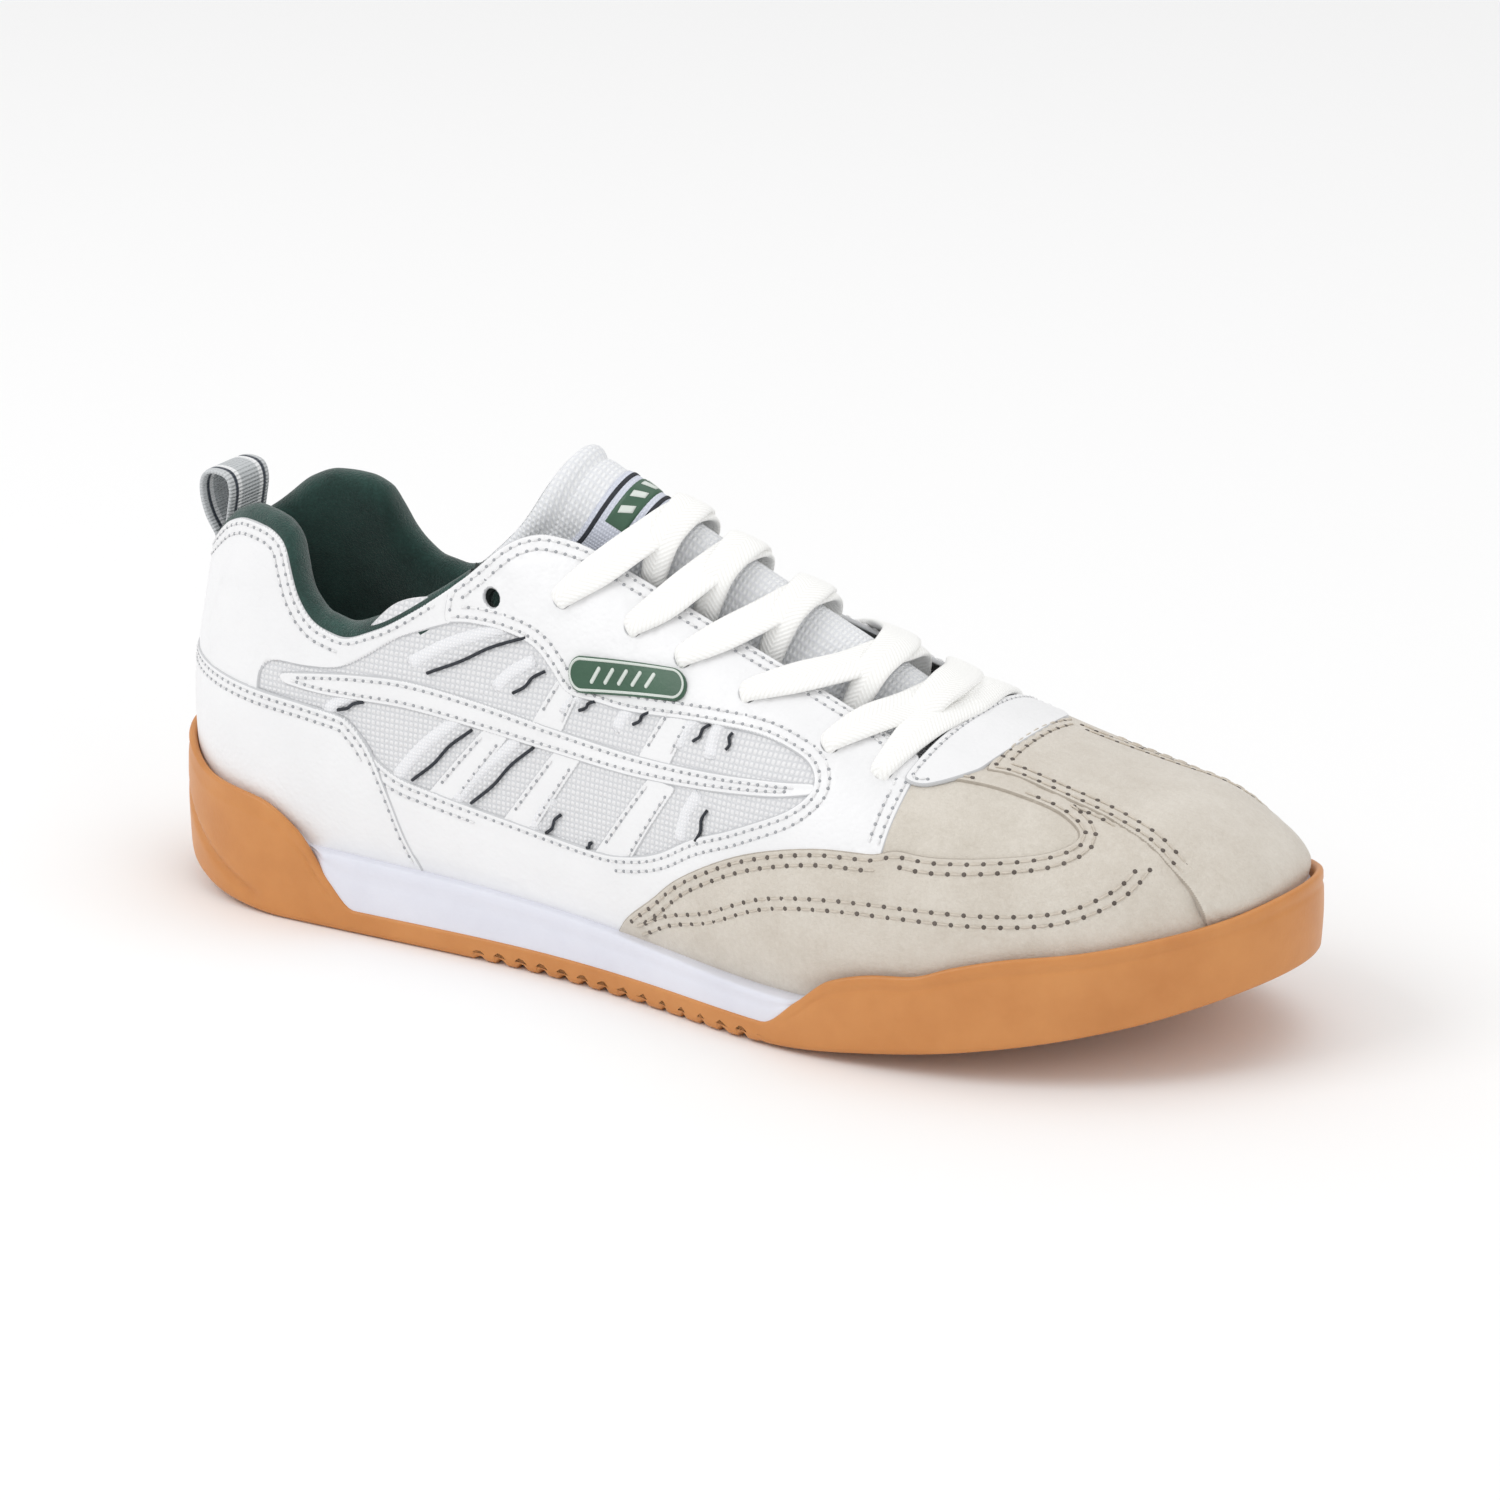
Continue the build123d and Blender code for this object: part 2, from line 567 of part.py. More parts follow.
def build_parts():
    parts = {
        "outsole": outsole(),
        "midsole": midsole(),
        "insole_board": board(0.0, BOARD_THICKNESS, BOARD_INSET),
        "sockliner": board(BOARD_THICKNESS + GAP, SOCKLINER_THICKNESS, BOARD_INSET + 0.6),
        "heel_foxing": heel_band(FOXING_FRONT, 0.0, FOXING_TOP, OVERLAY),
        "heel_patch": heel_band(-87, FOXING_TOP + 0.01, RIM, OVERLAY),
        "heel_counter": heel_band(-72, 0.01, 0.33, STIFFENER),
        "collar_foam": heel_band(-63, 0.20, shifted(RIM, -0.09), COLLAR_FOAM),
        "collar_lining": heel_band(-62.5, 0.04, RIM, pile_depths, 31, 25),
        "toe_cap": saddle(80.5, 143, TOE_CAP_HALF, OVERLAY, 24),
        "throat_bridge": saddle(THROAT_END + 0.6, 79.5, BRIDGE_HALF, OVERLAY, 6),
        "vamp_base": saddle(68, 130, 0.85, BASE),
        "vamp_lining": saddle(68, 140, 0.95, LINING),
        "toe_puff": saddle(104, 141, 0.8, STIFFENER),
        "tongue_face": tongue_layer(0),
        "tongue_foam": tongue_layer(1),
        "tongue_lining": tongue_layer(2),
        "tongue_label": saddle(*LABEL_SPAN, 0.15, label_depths, 8, 15),
        "pull_loop": pull_loop(),
    }
    parts.update(both_sides("quarter_lining", lambda side: pierced(
        side_panel(side, EYESTAY_BACK + 0.5, THROAT_END, 0.04, shifted(RIM, -0.012), LINING, 24, 10), side)))
    tape = (shifted(EYELET_LINE, -TAPE_HALF), shifted(EYELET_LINE, TAPE_HALF))
    parts.update(both_sides("eyelet_tape", lambda side: pierced(
        side_panel(side, -57, 65, *tape, STIFFENER, 24, 5), side)))
    parts.update(both_sides("eyestay", lambda side: pierced(
        side_panel(side, EYESTAY_BACK, THROAT_END, EYESTAY_BOTTOM, RIM, OVERLAY, 34, 10), side)))
    parts.update(both_sides("mesh", lambda side: side_panel(side, -85, 66, 0.10, MESH_TOP, BASE)))
    cage = (shifted(WINDOW_BOTTOM, SEAM), shifted(WINDOW_TOP, -SEAM))
    parts.update(both_sides("side_cage", lambda side: side_panel(
        side, -86, 37, *cage, OVERLAY, 26) - window_cutters(side)))
    parts.update(both_sides("side_foxing", lambda side: side_panel(
        side, lambda v: -64 - 65 * v, 44, side_foxing_low, shifted(WINDOW_BOTTOM, -SEAM), OVERLAY, 26)))
    parts.update(both_sides("mudguard", mudguard))
    parts.update(both_sides("mesh_ribs", mesh_ribs))
    parts["badge"] = badge()
    halves = [lace_half(-1, True), lace_half(1, False)]
    parts["lace"] = ribbon(halves[0][::-1] + halves[1])
    parts["aglets"] = Compound(children=[aglet(half) for half in halves])
    return parts


def side_foxing_low(x):
    """Height fraction of the side foxing's lower edge: the feather edge, then the mudguard's top."""
    return np.where(x < MUDGUARD_BACK, 0.0, MUDGUARD_TOP(x) + 0.008 * ease(x, MUDGUARD_BACK, -3))


def pierced(panel, side):
    return panel - eyelet_cutters(side)


def mudguard(side):
    """Suede guard round the forefoot, with an oval window over the vamp."""
    guard = side_panel(side, MUDGUARD_BACK, TOE_SEAM, 0.0, MUDGUARD_TOP, OVERLAY, 40, 10)
    point, lengthwise, normal = skin_frame(station(OVAL_PLACE[0]), side * (1 - OVAL_PLACE[1]))
    plane = Plane(origin=vector(point - 6 * normal), x_dir=vector(lengthwise), z_dir=vector(normal))
    return guard - extrude(plane * Ellipse(*OVAL_SIZE), amount=12)


def mesh_ribs(side):
    """Slanted piping under the cage, on the mesh."""
    ribs = []
    for x in RIB_FEET:
        top = float(WINDOW_TOP(min(x + 12, 38))) - 0.03
        bottom = float(WINDOW_BOTTOM(x)) + 0.03
        a, b = grid(3, 6)
        q = station(x + RIB_WIDTH * a + RIB_SLANT * b)
        ribs.append(layer(q, side * (1 - bottom - b * (top - bottom)), RIB))
    return Compound(children=ribs)


def badge():
    """Pill-shaped plate on the outer eyestay."""
    plate = side_panel(-1, -30, 12, 0.48, 0.64, (-1.2, -GAP), 10, 6)
    point, lengthwise, normal = skin_frame(station(BADGE_PLACE[0]), BADGE_PLACE[1] - 1)
    plane = Plane(origin=vector(point - 6 * normal), x_dir=vector(lengthwise), z_dir=vector(normal))
    return plate & extrude(plane * Rot(0, 0, BADGE_TILT) * SlotOverall(*BADGE_SIZE), amount=14)


def aglet(frames):
    """Plastic tube on a lace end."""
    end = vector(frames[-1][0])
    direction = (end - vector(frames[-2][0])).normalized()
    plane = Plane(origin=end + direction * (AGLET_LENGTH / 2 + GAP), z_dir=direction)
    return plane * Cylinder(AGLET_RADIUS, AGLET_LENGTH)


def main():
    os.makedirs("parts", exist_ok=True)
    for name, shape in build_parts().items():
        export_step(shape, f"parts/{name}.step")


main()
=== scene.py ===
"""Looks of the court shoe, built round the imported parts.

Shape sizes are in millimetres until mesh() turns them into metres.

A place on the upper's outside is (q, s): q runs from 0 at the heel to 1 at the toe, and s from -1 at the
outer feather edge over 0 at the ridge to 1 at the inner one. Panels are drawn as outlines of (x, v)
points, v = 1 - abs(s), or of (x, s) points where they cross the ridge.
"""
import math

import bpy
import numpy as np
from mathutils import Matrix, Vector, geometry, kdtree


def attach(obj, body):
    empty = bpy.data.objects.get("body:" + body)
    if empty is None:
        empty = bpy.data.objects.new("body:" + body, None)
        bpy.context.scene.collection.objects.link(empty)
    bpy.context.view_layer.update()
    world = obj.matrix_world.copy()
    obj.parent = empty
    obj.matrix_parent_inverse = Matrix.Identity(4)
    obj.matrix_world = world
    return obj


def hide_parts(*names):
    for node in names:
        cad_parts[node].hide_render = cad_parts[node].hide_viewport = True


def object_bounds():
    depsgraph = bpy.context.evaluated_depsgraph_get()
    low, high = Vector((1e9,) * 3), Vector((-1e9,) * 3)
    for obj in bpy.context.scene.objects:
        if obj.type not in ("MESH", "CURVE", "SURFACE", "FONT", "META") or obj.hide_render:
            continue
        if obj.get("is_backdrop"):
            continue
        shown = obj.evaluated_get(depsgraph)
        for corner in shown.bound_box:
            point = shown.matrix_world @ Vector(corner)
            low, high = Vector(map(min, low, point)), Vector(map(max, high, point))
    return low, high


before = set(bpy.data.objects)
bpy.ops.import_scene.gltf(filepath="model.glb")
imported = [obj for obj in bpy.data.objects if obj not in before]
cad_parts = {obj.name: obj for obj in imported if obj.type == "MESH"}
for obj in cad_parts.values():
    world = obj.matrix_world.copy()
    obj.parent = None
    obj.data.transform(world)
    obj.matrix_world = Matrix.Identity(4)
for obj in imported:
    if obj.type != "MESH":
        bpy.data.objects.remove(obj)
CAD_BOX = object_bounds()

# ---------------------------------------------------------------- shape of the shoe, as in the CAD

SHOE_LENGTH = 300.0
HEEL_X = -146.0
TOE_X = 146.5
HEEL_ROUND = 42.0
TOE_ROUND = 72.0
TOE_DROP = 30.0
ROUND_POWER = 2.3
EYELETS = ((-50, 0.59), (-32, 0.66), (-12, 0.68), (3, 0.67), (22, 0.67), (46, 0.66), (60, 0.66))
EYELET_RADIUS = 2.2
GIRTH = 95.0            # millimetres of skin from the feather edge to the ridge, about


def smooth(*points):
    """Natural cubic spline y(x) through the points, held level beyond its ends."""
    x, y = np.array(points, float).T
    n = len(x)
    h = np.diff(x)
    a = np.eye(n)
    b = np.zeros(n)
    for i in range(1, n - 1):
        a[i, i - 1:i + 2] = h[i - 1], 2 * (h[i - 1] + h[i]), h[i]
        b[i] = 6 * ((y[i + 1] - y[i]) / h[i] - (y[i] - y[i - 1]) / h[i - 1])
    m = np.linalg.solve(a, b)

    def curve(at):
        at = np.clip(np.asarray(at, float), x[0], x[-1])
        i = np.clip(np.searchsorted(x, at) - 1, 0, n - 2)
        left = at - x[i]
        right = x[i + 1] - at
        bend = (m[i] * right**3 + m[i + 1] * left**3) / (6 * h[i])
        start = (y[i] / h[i] - m[i] * h[i] / 6) * right
        return bend + start + (y[i + 1] / h[i] - m[i + 1] * h[i] / 6) * left

    return curve


def steady(*points):
    """Monotone cubic curve y(x): it never swings past its points."""
    x, y = np.array(points, float).T
    h = np.diff(x)
    rise = np.diff(y) / h
    slope = np.zeros(len(x))
    slope[0] = rise[0]
    slope[-1] = rise[-1]
    for i in range(1, len(x) - 1):
        if rise[i - 1] * rise[i] > 0:
            w1 = 2 * h[i] + h[i - 1]
            w2 = h[i] + 2 * h[i - 1]
            slope[i] = (w1 + w2) / (w1 / rise[i - 1] + w2 / rise[i])

    def curve(at):
        at = np.clip(np.asarray(at, float), x[0], x[-1])
        i = np.clip(np.searchsorted(x, at) - 1, 0, len(x) - 2)
        t = (at - x[i]) / h[i]
        start = y[i] * (1 + 2 * t) * (1 - t)**2 + y[i + 1] * t**2 * (3 - 2 * t)
        return start + h[i] * (slope[i] * t * (1 - t)**2 + slope[i + 1] * t**2 * (t - 1))

    return curve


def ease(x, start, end):
    """Smooth step from 0 at start to 1 at end."""
    t = np.clip((x - start) / (end - start), 0, 1)
    return t * t * (3 - 2 * t)


HALF_OUTER = smooth((-150, 33), (-110, 35), (-70, 36), (-30, 38), (10, 44), (45, 50), (80, 50.5), (110, 48),
                    (150, 44))
HALF_INNER = smooth((-150, 33), (-110, 34), (-70, 32.5), (-30, 30.5), (10, 36), (45, 44.5), (80, 48),
                    (110, 46), (150, 42))
MIDLINE = smooth((-150, 0.55), (-60, 0.55), (0, 0.55), (60, 0.55), (110, 4.55), (150, 8.55))
FEATHER = smooth((-150, 21), (-110, 19), (-60, 17.5), (0, 14), (50, 12), (90, 15), (120, 20), (150, 27))
RIDGE = smooth((-150, 150), (-110, 142), (-75, 128), (-40, 112), (0, 96), (30, 85), (60, 74), (90, 65.5),
               (115, 60), (150, 55))
HEEL_CURVE = smooth((0, 1), (20, 0), (45, -2), (70, 0), (100, 5), (150, 14))
FRONT_SECTION = ((0.93, 0.0), (1.07, 0.30), (1.02, 0.86), (0.55, 1.0), (0.0, 1.0))
REAR_SECTION = ((0.93, 0.0), (1.12, 0.25), (0.88, 0.62), (0.62, 1.0), (0.0, 1.0))
HEEL_SECTION = ((0.93, 0.0), (1.12, 0.25), (0.74, 0.62), (0.42, 1.0), (0.0, 1.0))
SOLE_OUTER = smooth((-150, 35), (-110, 37), (-70, 37.5), (-30, 39), (10, 45.5), (45, 52.5), (80, 53),
                    (110, 50.5), (150, 46))
SOLE_INNER = smooth((-150, 35), (-110, 36), (-70, 34.5), (-30, 32), (10, 38), (45, 47), (80, 51), (110, 49),
                    (150, 45))
UNDERSIDE = steady((-150, 12), (-138, 5), (-120, 1.2), (-105, 0), (-50, 0), (20, 0), (40, 0.6), (70, 4),
                   (100, 9),
                   (125, 14.5), (150, 22))
GUM_TOP = steady((-150, 38), (-143, 36), (-130, 32), (-112, 30), (-101, 24), (-92, 13), (-84, 6), (38, 6),
                 (48, 13),
                 (57, 20), (68, 23.3), (78, 24.5), (88, 28), (100, 31), (115, 33), (130, 36), (142, 39),
                 (150, 42))
RIM = steady((-146, 0.40), (-141, 0.43), (-134, 0.475), (-127, 0.495), (-118, 0.50), (-112, 0.49),
             (-109, 0.465),
             (-106, 0.435), (-102, 0.41), (-97, 0.395), (-91, 0.395), (-81, 0.43), (-71, 0.49), (-58, 0.60),
             (-47, 0.73), (-40, 0.78), (-27, 0.81), (16, 0.80), (46, 0.79), (67, 0.75))
TONGUE_HALF = steady((-57, 0.37), (-50, 0.36), (-30, 0.36), (20, 0.39), (50, 0.40), (65.5, 0.34))
TONGUE_REACH = steady((-56, 0.32), (-44, 0.26), (-34, 0.19), (66, 0.19))
TONGUE_CREST = steady((-50, -9.0), (-40, -8.6), (-17, -7.0), (20, -4.2), (45, -2.2), (65.5, 1.0))


def turned(a, b, angle):
    return a * math.cos(angle) - b * math.sin(angle), a * math.sin(angle) + b * math.cos(angle)


def along(q):
    return HEEL_X + (TOE_X - HEEL_X) * (1 - np.cos(np.pi * q)) / 2


def station(x):
    return np.arccos(np.clip(1 - 2 * (x - HEEL_X) / (TOE_X - HEEL_X), -1, 1)) / np.pi


def rounding(distance, reach):
    """Factor that closes a plan outline towards an end."""
    return (1 - (1 - np.clip(distance / reach, 0, 1))**ROUND_POWER)**0.5


def skin_point(q, s):
    """Point of the upper's outside."""
    x = along(q)
    v = 1 - np.abs(s)
    half = np.where(s < 0, -HALF_OUTER(x), HALF_INNER(x))
    half = half * rounding(x - HEEL_X, HEEL_ROUND) * rounding(TOE_X - x, TOE_ROUND) * np.sign(q)
    height = (RIDGE(x) - FEATHER(x)) * rounding(TOE_X - x, TOE_DROP)
    front = ease(x, -60, 60)
    heel = 1 - ease(x, -125, -75)
    y = MIDLINE(x)
    z = FEATHER(x)
    weights = ((1 - v)**4, 4 * v * (1 - v)**3, 6 * v**2 * (1 - v)**2, 4 * v**3 * (1 - v), v**4)
    for weight, ahead, middle, behind in zip(weights, FRONT_SECTION, REAR_SECTION, HEEL_SECTION):
        y = y + weight * half * (ahead[0] * front + middle[0] * (1 - front - heel) + behind[0] * heel)
        z = z + weight * height * (ahead[1] * front + middle[1] * (1 - front - heel) + behind[1] * heel)
    x = x + HEEL_CURVE(z) * (1 - ease(x, HEEL_X, -70))
    return np.stack(np.broadcast_arrays(x, y, z), -1)


def skin_frame(q, s):
    """Point, lengthwise direction, outward normal."""
    q = np.clip(np.asarray(q, float), 2e-3, 0.998)
    s = np.asarray(s, float)
    step = 1e-3
    lengthwise = skin_point(q + step, s) - skin_point(q - step, s)
    lengthwise /= np.linalg.norm(lengthwise, axis=-1)[..., None]
    upper = np.where(s < 0, 0, step)
    across = skin_point(q, s + upper) - skin_point(q, s + upper - step)
    normal = np.cross(lengthwise, across)
    normal /= np.linalg.norm(normal, axis=-1)[..., None]
    return skin_point(q, s), lengthwise, normal


def place(x, s, depth=0.0):
    """Point at a depth below the skin, and the outward normal there."""
    point, _, normal = skin_frame(station(np.asarray(x, float)), s)
    return point - np.asarray(depth, float)[..., None] * normal, normal


# The chart in which panels are cut: (arc, w), arc along the plan outline and w across it, in millimetres
_Q = np.linspace(0, 1, 1201)
_PLAN = skin_point(np.maximum(_Q, 1e-6), np.full_like(_Q, -0.65))
_ARC = np.concatenate([[0], np.cumsum(np.linalg.norm(np.diff(_PLAN, axis=0), axis=1))])


def arc_of(x):
    return np.interp(station(np.asarray(x, float)), _Q, _ARC)


def on_chart(kind, points):
    """(q, s) of chart points.

    The kinds are outer, inner, top, and heel, where negative arcs lie on the inner side.
    """
    arc, w = np.asarray(points, float).T
    q = np.interp(np.abs(arc), _ARC, _Q)
    if kind == "top":
        return q, w / GIRTH
    side = {"outer": -1.0, "inner": 1.0, "heel": np.where(arc >= 0, -1.0, 1.0)}[kind]
    return q, side * (1 - w / GIRTH)


def chart_place(kind, points):
    q, s = on_chart(kind, points)
    point, _, normal = skin_frame(q, s)
    return point, normal


# ---------------------------------------------------------------- meshes


def mesh(name, points, faces, materials, indices=None, uv=None, flat=False):
    """A mesh object from points in millimetres."""
    data = bpy.data.meshes.new(name)
    data.from_pydata((np.asarray(points, float) * 0.001).tolist(), [], [tuple(map(int, f)) for f in faces])
    obj = bpy.data.objects.new(name, data)
    bpy.context.scene.collection.objects.link(obj)
    for material in materials if isinstance(materials, (list, tuple)) else [materials]:
        data.materials.append(material)
    if indices is not None:
        data.polygons.foreach_set("material_index", np.asarray(indices, np.int32))
    if uv is not None:
        layer = data.uv_layers.new(name="UVMap")
        loops = np.zeros(len(data.loops), np.int32)
        data.loops.foreach_get("vertex_index", loops)
        layer.data.foreach_set("uv", np.asarray(uv, np.float32)[loops].ravel())
    data.polygons.foreach_set("use_smooth", np.full(len(data.polygons), not flat))
    data.validate()
    data.update()
    return obj


def dress(obj, body="shoe", replaces=()):
    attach(obj, body)
    if replaces:
        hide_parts(*replaces)
    return obj


def grid_faces(rows, columns, close_rows=False, close_columns=False, flip=False):
    faces = []
    for i in range(rows if close_rows else rows - 1):
        for j in range(columns if close_columns else columns - 1):
            a, b = (i + 1) % rows, (j + 1) % columns
            face = (i * columns + j, i * columns + b, a * columns + b, a * columns + j)
            faces.append(face[::-1] if flip else face)
    return faces


def stacked_faces(rows, columns):
    """Faces of two grids of points, the second below the first, and of the walls round them."""
    count = rows * columns
    top = grid_faces(rows, columns)
    rim = list(range(columns))
    rim += [i * columns + columns - 1 for i in range(1, rows)]
    rim += [(rows - 1) * columns + j for j in range(columns - 2, -1, -1)]
    rim += [i * columns for i in range(rows - 2, 0, -1)]
    walls = [(b, a, a + count, b + count) for a, b in zip(rim, rim[1:] + rim[:1])]
    return top, [tuple(i + count for i in face[::-1]) for face in top], walls


def tubes(name, lines, material, flip=False, uv=None):
    """One mesh of closed tubes, each given as its rings of points."""
    points, faces = [], []
    for rings in lines:
        base, sides = len(points), len(rings[0])
        points += [point for ring in rings for point in ring]
        first = tuple(range(sides))
        last = tuple((len(rings) - 1) * sides + k for k in first)
        body = grid_faces(len(rings), sides, close_columns=True, flip=flip)
        body += [first, last[::-1]] if flip else [first[::-1], last]
        faces += [tuple(base + corner for corner in face) for face in body]
    return mesh(name, points, faces, material, uv=uv)


def run_through(points, spacing):
    """Smooth line through the points, cut into even steps."""
    p = np.asarray(points, float)
    if len(p) < 3:
        count = max(2, int(np.ceil(np.linalg.norm(p[-1] - p[0]) / spacing)) + 1)
        return p[0] + np.linspace(0, 1, count)[:, None] * (p[-1] - p[0])
    p = np.vstack([2 * p[0] - p[1], p, 2 * p[-1] - p[-2]])
    fine = []
    for i in range(1, len(p) - 2):
        t = np.linspace(0, 1, 24, endpoint=False)[:, None]
        a, b, c, d = p[i - 1:i + 3]
        fine.append(0.5 * (2 * b + (c - a) * t + (2 * a - 5 * b + 4 * c - d) * t**2 + (3 * b - a - 3 * c + d)
                           * t**3))
    fine = np.vstack(fine + [p[-2][None]])
    return even(fine, spacing)


def even(line, spacing):
    length = np.concatenate([[0], np.cumsum(np.linalg.norm(np.diff(line, axis=0), axis=1))])
    count = max(2, int(round(length[-1] / spacing)) + 1)
    at = np.linspace(0, length[-1], count)
    return np.stack([np.interp(at, length, line[:, k]) for k in range(line.shape[1])], 1)


def to_chart(kind, points, side=1):
    points = np.asarray(points, float)
    arc = arc_of(points[:, 0]) * side
    return np.stack([arc, points[:, 1] * GIRTH], 1)


def closed_outline(runs, spacing=1.0, soften=3):
    """Closed chart outline from runs of points that meet at corners; soften rounds the corners."""
    line = np.vstack([run_through(run, spacing)[:-1] if i == len(runs) - 1 else run_through(run, spacing)
                      for i, run in enumerate(runs)])
    line = np.vstack([line, line[:1]])
    line = even(line, spacing)[:-1]
    for _ in range(soften):
        line = 0.5 * line + 0.25 * (np.roll(line, 1, 0) + np.roll(line, -1, 0))
    area = np.sum(line[:, 0] * np.roll(line[:, 1], -1) - np.roll(line[:, 0], -1) * line[:, 1])
    return line if area > 0 else line[::-1]


def inside(points, loops):
    """Which chart points lie within the first loop and outside the others."""
    result = None
    for loop in loops:
        x, y = points[:, 0][:, None], points[:, 1][:, None]
        x0, y0 = loop.T
        x1, y1 = np.roll(loop, -1, 0).T
        cross = ((y0 > y) != (y1 > y)) & (x < (x1 - x0) * (y - y0) / (y1 - y0 + 1e-12) + x0)
        within = cross.sum(1) % 2 == 1
        result = within if result is None else result & ~within
    return result


def offset(kind, loop, distance, sign=1.0, closed=True):
    """The loop moved sideways by a true distance on the skin, towards its left where sign is 1."""
    if closed:
        run = np.roll(loop, -1, 0) - np.roll(loop, 1, 0)
    else:
        run = np.gradient(loop, axis=0)
    step = 0.25
    centre, normal = chart_place(kind, loop)
    by_arc = (chart_place(kind, loop + [step, 0])[0] - chart_place(kind, loop - [step, 0])[0]) / (2 * step)
    by_w = (chart_place(kind, loop + [0, step])[0] - chart_place(kind, loop - [0, step])[0]) / (2 * step)
    run3 = by_arc * run[:, :1] + by_w * run[:, 1:]
    away = np.cross(normal, run3)
    away /= np.linalg.norm(away, axis=1)[:, None] + 1e-12
    g11, g12, g22 = (by_arc**2).sum(1), (by_arc * by_w).sum(1), (by_w**2).sum(1)
    r1, r2 = (by_arc * away).sum(1), (by_w * away).sum(1)
    det = np.maximum(g11 * g22 - g12**2, 1e-3)
    move = np.stack([(g22 * r1 - g12 * r2) / det, (g11 * r2 - g12 * r1) / det], 1)
    left = np.stack([-run[:, 1], run[:, 0]], 1)
    move *= np.sign((move * left).sum(1))[:, None]
    size = np.linalg.norm(move, axis=1)[:, None]
    move = np.where(size > 3, move * 3 / size, move)
    return loop + sign * distance * move


def tree_of(points):
    tree = kdtree.KDTree(len(points))
    for i, point in enumerate(points):
        tree.insert(point, i)
    tree.balance()
    return tree


def nearest(tree, points):
    return np.array([tree.find(point)[2] for point in points])


def panel(name, kind, loops, materials, level=0.0, thickness=1.0, rows=(), lines=(), edge=0.7, spacing=1.7,
          dome=0.0, dip=0.22, wave=0.0, swell=None, ribs=()):
    """Closed sheet cut to chart loops, the first its outline and the others holes.

    level is the height of its top over the skin. It has a rounded edge, and sinks a little along its
    rows of stitches (true distances from the edges) and along lines (other chart polylines).
    """
    border = np.vstack(loops)
    border3 = chart_place(kind, border)[0]
    tree = tree_of(border3)
    kept = [border]
    for distance in (0.22, 0.42, 0.7, 1.3) + tuple(rows):
        for i, loop in enumerate(loops):
            ring = offset(kind, loop, distance, 1.0 if i == 0 else -1.0)
            ring = ring[inside(ring, loops)]
            if len(ring):
                ring3 = chart_place(kind, ring)[0]
                ring = ring[nearest(tree, ring3) > 0.93 * distance]
            if len(ring) and distance > 1:
                others = tree_of(chart_place(kind, np.vstack(kept))[0])
                ring = ring[nearest(others, chart_place(kind, ring)[0]) > 0.35]
            if len(ring):
                kept.append(ring)
    low, high = border.min(0), border.max(0)
    a, b = np.meshgrid(np.arange(low[0], high[0], spacing), np.arange(low[1], high[1], spacing * 0.87))
    a = a + (np.arange(len(a)) % 2)[:, None] * spacing / 2
    inner = np.stack([a.ravel(), b.ravel()], 1)
    inner = inner[inside(inner, loops)]
    if len(inner):
        inner = inner[nearest(tree, chart_place(kind, inner)[0]) > 1.3]
    if len(inner):
        others = tree_of(chart_place(kind, np.vstack(kept))[0])
        kept.append(inner[nearest(others, chart_place(kind, inner)[0]) > 0.5 * spacing])
    flat = np.vstack(kept)
    edges = []
    start = 0
    for loop in loops:
        edges += [(start + i, start + (i + 1) % len(loop)) for i in range(len(loop))]
        start += len(loop)
    made = geometry.delaunay_2d_cdt([Vector(p) for p in flat], edges, [], 0, 1e-6)
    flat = np.array([tuple(p) for p in made[0]])
    triangles = np.array([face for face in made[2] if len(face) == 3])
    triangles = triangles[inside(flat[triangles].mean(1), loops)]
    point, normal = chart_place(kind, flat)
    distance = nearest(tree, point)
    height = level - edge + np.sqrt(np.maximum(edge**2 - (edge - np.minimum(distance, edge))**2, 0))
    for row in rows:
        height -= dip * np.exp(-((distance - row) / 0.6)**2)
    if len(rows) > 1:
        height += 0.10 * np.exp(-((distance - sum(rows[:2]) / 2) / 0.8)**2)
    for line in lines:
        near = nearest(tree_of(chart_place(kind, line)[0]), point)
        height -= dip * np.exp(-(near / 0.6)**2)
    for line in ribs:
        height += 0.55 * np.exp(-(nearest(tree_of(chart_place(kind, line)[0]), point) / 0.9)**2)
    if dome:
        height += dome * (1 - np.exp(-distance / 5.0))
    if wave:
        height += wave * np.sin(point[:, 0] / 9.0 + point[:, 2] / 13.0) * np.sin(point[:, 2]
                                                                                 / 7.0) * ease(distance, 1, 8)
    if swell is not None:
        height += swell(point)
    top = point + height[:, None] * normal
    bottom = point + (level - thickness) * normal
    count = len(flat)
    a, b, c = top[triangles[:, 0]], top[triangles[:, 1]], top[triangles[:, 2]]
    out = (np.cross(b - a, c - a) * normal[triangles].mean(1)).sum(1) > 0
    triangles[~out] = triangles[~out][:, ::-1]
    sides = {(int(face[k]), int(face[(k + 1) % 3])): None for face in triangles for k in range(3)}
    walls = [(b, a, a + count, b + count) for a, b in sides if (b, a) not in sides]
    faces = [tuple(t) for t in triangles] + [tuple(t[::-1] + count) for t in triangles] + walls
    # Faces within 0.45 mm of the outline, and the walls, take the darker second material: the raw cut edge,
    # with painted shade along the seam.
    cut = (distance[triangles].max(1) < 0.45).astype(int) if isinstance(materials,
                                                                        list) else np.zeros(len(triangles),
                                                                                            int)
    indices = np.concatenate([cut, np.zeros(len(triangles), int), np.full(len(walls), cut.max())])
    return mesh(name, np.vstack([top, bottom]), faces, materials, indices)


